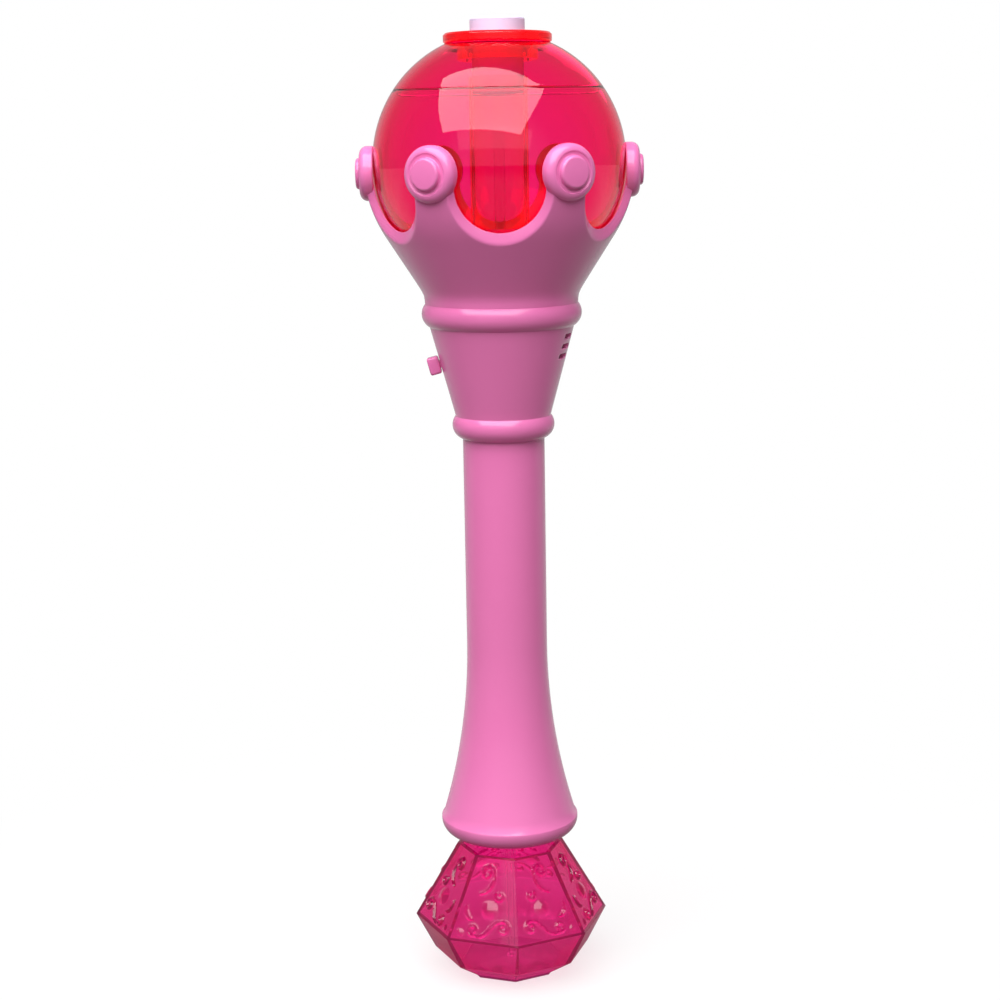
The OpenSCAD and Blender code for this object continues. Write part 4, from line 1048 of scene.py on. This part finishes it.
    def neck(self, angles: Array) -> Array:
        """Lattice of the neck: a cylinder whose radius swells along a helix, fading in and out over its turns."""
        foot = self.rings[-1][1]
        z = np.concatenate([[foot + 0.05, foot + 0.6], np.linspace(foot + 2, self.neck_top - 0.5, 48),
                            [self.neck_top - 0.15, self.neck_top]])
        inset = np.concatenate([np.zeros(len(z) - 2), [0.15, 0.5]])
        turn = (angles[None] / (2 * np.pi)) % 1.0
        total = np.zeros((len(z), len(angles)))
        for lap in range(3):
            t = turn + lap
            distance = np.abs(z[:, None] - self.thread_z - self.thread_pitch * t)
            bump = np.clip(self.thread_slope - self.thread_slope * distance, 0, 1)
            fade = np.clip((self.thread_turns - t) * self.thread_fade, 0, 1) * np.clip(t * self.thread_fade, 0, 1)
            total = np.maximum(total, bump * fade)
        r = self.neck_r + self.thread_depth * total - inset[:, None]
        return polar(r, angles, z[:, None])

    def build(self, material: Material) -> None:
        """Joins the outer wall, shoulder, neck, bore and hollow into one closed wall."""
        path = fillet(np.array(self.rings), 0.2, 4, limit=8)
        (girdle_r, girdle_z), (top_r, top_z) = self.rings[-2:]
        low, high = self.facet_span
        z = np.linspace(low, high, self.facet_rows)
        facet = np.stack([np.interp(z, [girdle_z, top_z], [girdle_r, top_r]), z], 1)
        path = np.concatenate([path[path[:, 1] < low - 0.2], facet, path[path[:, 1] > high + 0.2]])
        outer = self.wall(path, True)
        hollow = self.wall(fillet(np.array(self.hollow), 0.5, 4, limit=8), False)
        angles = np.arctan2(outer[-1, :, 1], outer[-1, :, 0])
        b, t = self.neck_bore, self.neck_top
        mouth = ((self.neck_r - 0.9, t), (b + 0.3, t), (b, t - 0.4), (b, 60.0), (b, 50.4), (b + 0.6, 49.5))
        bore = np.stack([polar(r, angles, z) for r, z in mouth])
        ends = [np.full((1, len(angles), 3), (0.0, 0.0, z)) for z in (self.rings[0][1], self.hollow[0][1])]
        lattice = np.concatenate([ends[0], outer, self.neck(angles), bore, hollow[::-1], ends[1]])
        make_piece("gem_bottle", grid(lattice, wrap_v=True), Body.BOTTLE, Slot.BOTTLE, material, ("bottle",), sharp=32)


# Inside pieces and studio


@dataclass
class Innards:
    """CAD pieces that keep their solids and take a finish."""

    finishes: tuple[tuple[Union[Opaque, Clear], tuple[str, ...]], ...] = (
        (PINK_ABS, ("bottle_socket", "socket_plate", "battery_door", "fan_deck")),
        (WHITE_PP, ("battery_cradle", "pump_body", "pump_rotor", "gear_plate", "counter_gear", "fan_impeller")),
        (DUCT_STYRENE, ("air_duct",)),
        (CLEAR_VINYL, ("dip_tube", "delivery_tube")),
        (SILICONE, ("suction_tube", "pump_tube")),
        (RUBBER, ("bottle_gasket", "pump_roller_a", "pump_roller_b", "pump_roller_c")),
        (STEEL, ("shell_screws", "contact_plates", "contact_spring", "door_screw", "pump_axle", "roller_pins",
                 "counter_axle", "motor_shaft", "deck_screws")),
        (BRASS, ("motor_pinion",)),
        (MOTOR_CAN, ("motor_can",)),
        (CELL_SLEEVE, ("battery_cells",)),
        (BOARD, ("led_board",)),
        (LAMP_EPOXY, ("led_lamps",)),
        (BLACK_ACETAL, ("switch_body",)),
    )

    def dress(self, made: dict[str, Material]) -> None:
        """Gives each node the material of its finish."""
        for finish, nodes in self.finishes:
            if finish.name not in made:
                made[finish.name] = finish.material()
            for name in nodes:
                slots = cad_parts[name].data.materials
                slots.clear()
                slots.append(made[finish.name])
            LOG.info("%s dresses %s", finish.name, ", ".join(nodes))


@dataclass
class Studio:
    """Pale floor, soft lamps and the camera."""

    camera_m: tuple[float, float, float] = (-0.0018, -0.708, 0.3205)
    pitch: float = -10.7
    roll: float = -0.95
    lens: float = 68.4
    gloss: float = 0.45
    floor_m: float = 6.0

    def backdrop(self, tree: Tree, seen: Node) -> Node:
        """How white the surroundings are: 1 for rays from the camera, seen for rays through clear pieces, and the share
        gloss of that for mirrored rays.

        Args:
            tree: tree of the floor's or the world's nodes.
            seen: 0 to 1, how far the place belongs to the backdrop.

        Returns:
            The share of white; 0 for the light that falls on the object.
        """
        path = add_node(tree, "LightPath").outputs
        gloss = add_node(tree, "Math", {0: path["Is Glossy Ray"], 1: self.gloss}, operation="MULTIPLY")
        sent = add_node(tree, "Math", {0: gloss, 1: path["Is Transmission Ray"]}, operation="MAXIMUM")
        there = add_node(tree, "Math", {0: sent, 1: seen}, operation="MULTIPLY")
        return add_node(tree, "Math", {0: path["Is Camera Ray"], 1: there}, operation="MAXIMUM")

    def floor(self) -> None:
        """A wide plain floor: plain white to the camera further off, with the object's shadow kept close to it."""
        material, tree = new_tree("pale_paper_floor")
        place = add_node(tree, "TexCoord").outputs["Object"]
        depth = add_node(tree, "SeparateXYZ", {0: place}).outputs["Y"]
        behind = add_node(tree, "MapRange", {
            "Value": depth, "From Min": 0.0, "From Max": 0.4, "To Min": 0.12, "To Max": 1.0})
        share = self.backdrop(tree, behind)
        away = add_node(tree, "VectorMath", {0: place}, operation="LENGTH")
        fade = add_node(tree, "MapRange", {
            "Value": away.outputs["Value"], "From Min": 0.04, "From Max": 0.3, "To Min": 0.72, "To Max": 1.0})
        both = add_node(tree, "Math", {0: share, 1: fade}, operation="MULTIPLY")
        tone = add_node(tree, "MixRGB", {"Fac": share, "Color1": linear("#6E6664"), "Color2": linear("#F2F0F0")})
        plain = add_node(tree, "BsdfDiffuse", {"Color": tone})
        white = add_node(tree, "Emission", {"Color": linear("#FFFFFF"), "Strength": 1.0})
        mixed = add_node(tree, "MixShader", {0: both, 1: plain, 2: white})
        add_node(tree, "OutputMaterial", {"Surface": mixed})
        mesh = bpy.data.meshes.new("floor")
        corners = ((-1, -1), (1, -1), (1, 1), (-1, 1))
        mesh.from_pydata([(x * self.floor_m, y * self.floor_m, 0) for x, y in corners], [], [(0, 1, 2, 3)])
        mesh.materials.append(material)
        floor = placed("floor", mesh)

    def lamp(self, name: str, place: Sequence[float], aim: Sequence[float], size: tuple[float, float], power: float,
             gloss: bool = True) -> None:
        """A soft rectangular lamp aimed at a point, mirrored in gloss or not."""
        light = bpy.data.lights.new(name, "AREA")
        light.shape, light.size, light.size_y, light.energy = "RECTANGLE", size[0], size[1], power
        lamp = placed(name, light)
        lamp.location = place
        lamp.rotation_euler = (Vector(aim) - Vector(place)).to_track_quat("-Z", "Y").to_euler()
        lamp.visible_glossy = gloss

    def build(self) -> None:
        """Makes the floor, world, lamps and camera."""
        scene = bpy.context.scene
        scene.view_settings.view_transform = "Standard"
        self.floor()
        world = bpy.data.worlds.new("soft_room")
        scene.world = world
        world.use_nodes = True
        tree = world.node_tree
        tree.nodes.clear()
        room = add_node(tree, "Background", {"Color": linear("#FFF6FA"), "Strength": 0.13})
        white = add_node(tree, "Background", {"Color": linear("#FFFFFF"), "Strength": 1.0})
        way = add_node(tree, "TexCoord").outputs["Generated"]
        side = add_node(tree, "SeparateXYZ", {0: way}).outputs["Y"]
        depth = add_node(tree, "Math", {0: side}, operation="ABSOLUTE")
        sheet = add_node(tree, "MapRange", {
            "Value": depth, "From Min": 0.62, "From Max": 0.86, "To Min": 0.35, "To Max": 1.0})
        mixed = add_node(tree, "MixShader", {0: self.backdrop(tree, sheet), 1: room, 2: white})
        add_node(tree, "OutputWorld", {"Surface": mixed})
        self.lamp("overhead_soft_box", (-0.2, -0.65, 1.4), (0, 0, 0.2), (2.0, 1.5), 43)
        self.lamp("front_panel", (-0.1, -1.35, 0.85), (0, 0, 0.1), (1.8, 0.5), 1.8)
        self.lamp("rear_fill", (0.3, 1.4, 1.1), (0, 0, 0.2), (1.2, 0.8), 7, False)
        camera = bpy.data.cameras.new("camera")
        camera.lens, camera.sensor_width, camera.sensor_fit = self.lens, 36.0, "HORIZONTAL"
        camera.clip_start, camera.clip_end = 0.01, 50.0
        view = placed("camera", camera)
        view.location = self.camera_m
        look = Euler((math.radians(90 + self.pitch), 0, 0), "XYZ").to_matrix()
        lean = Euler((0, 0, math.radians(self.roll)), "XYZ").to_matrix()
        view.rotation_euler = (look @ lean).to_euler()
        scene.camera = view


def main() -> None:
    """Builds every sub-assembly in order."""
    logging.basicConfig(level=logging.INFO, format="%(message)s")
    Studio().build()
    finishes = (PINK_ABS, GLOBE_ACRYLIC, COLLAR_ACRYLIC, BOTTLE_STYRENE, NOZZLE_PP)
    made = {f.name: f.material() for f in finishes}
    pink = made[PINK_ABS.name]
    Handle().build(pink)
    SwitchKnob().build(pink)
    Crown().build(pink)
    Globe().build(made[GLOBE_ACRYLIC.name], made[COLLAR_ACRYLIC.name], made[NOZZLE_PP.name])
    Bottle().build(made[BOTTLE_STYRENE.name])
    Innards().dress(made)


if __name__ == "__main__":
    main()
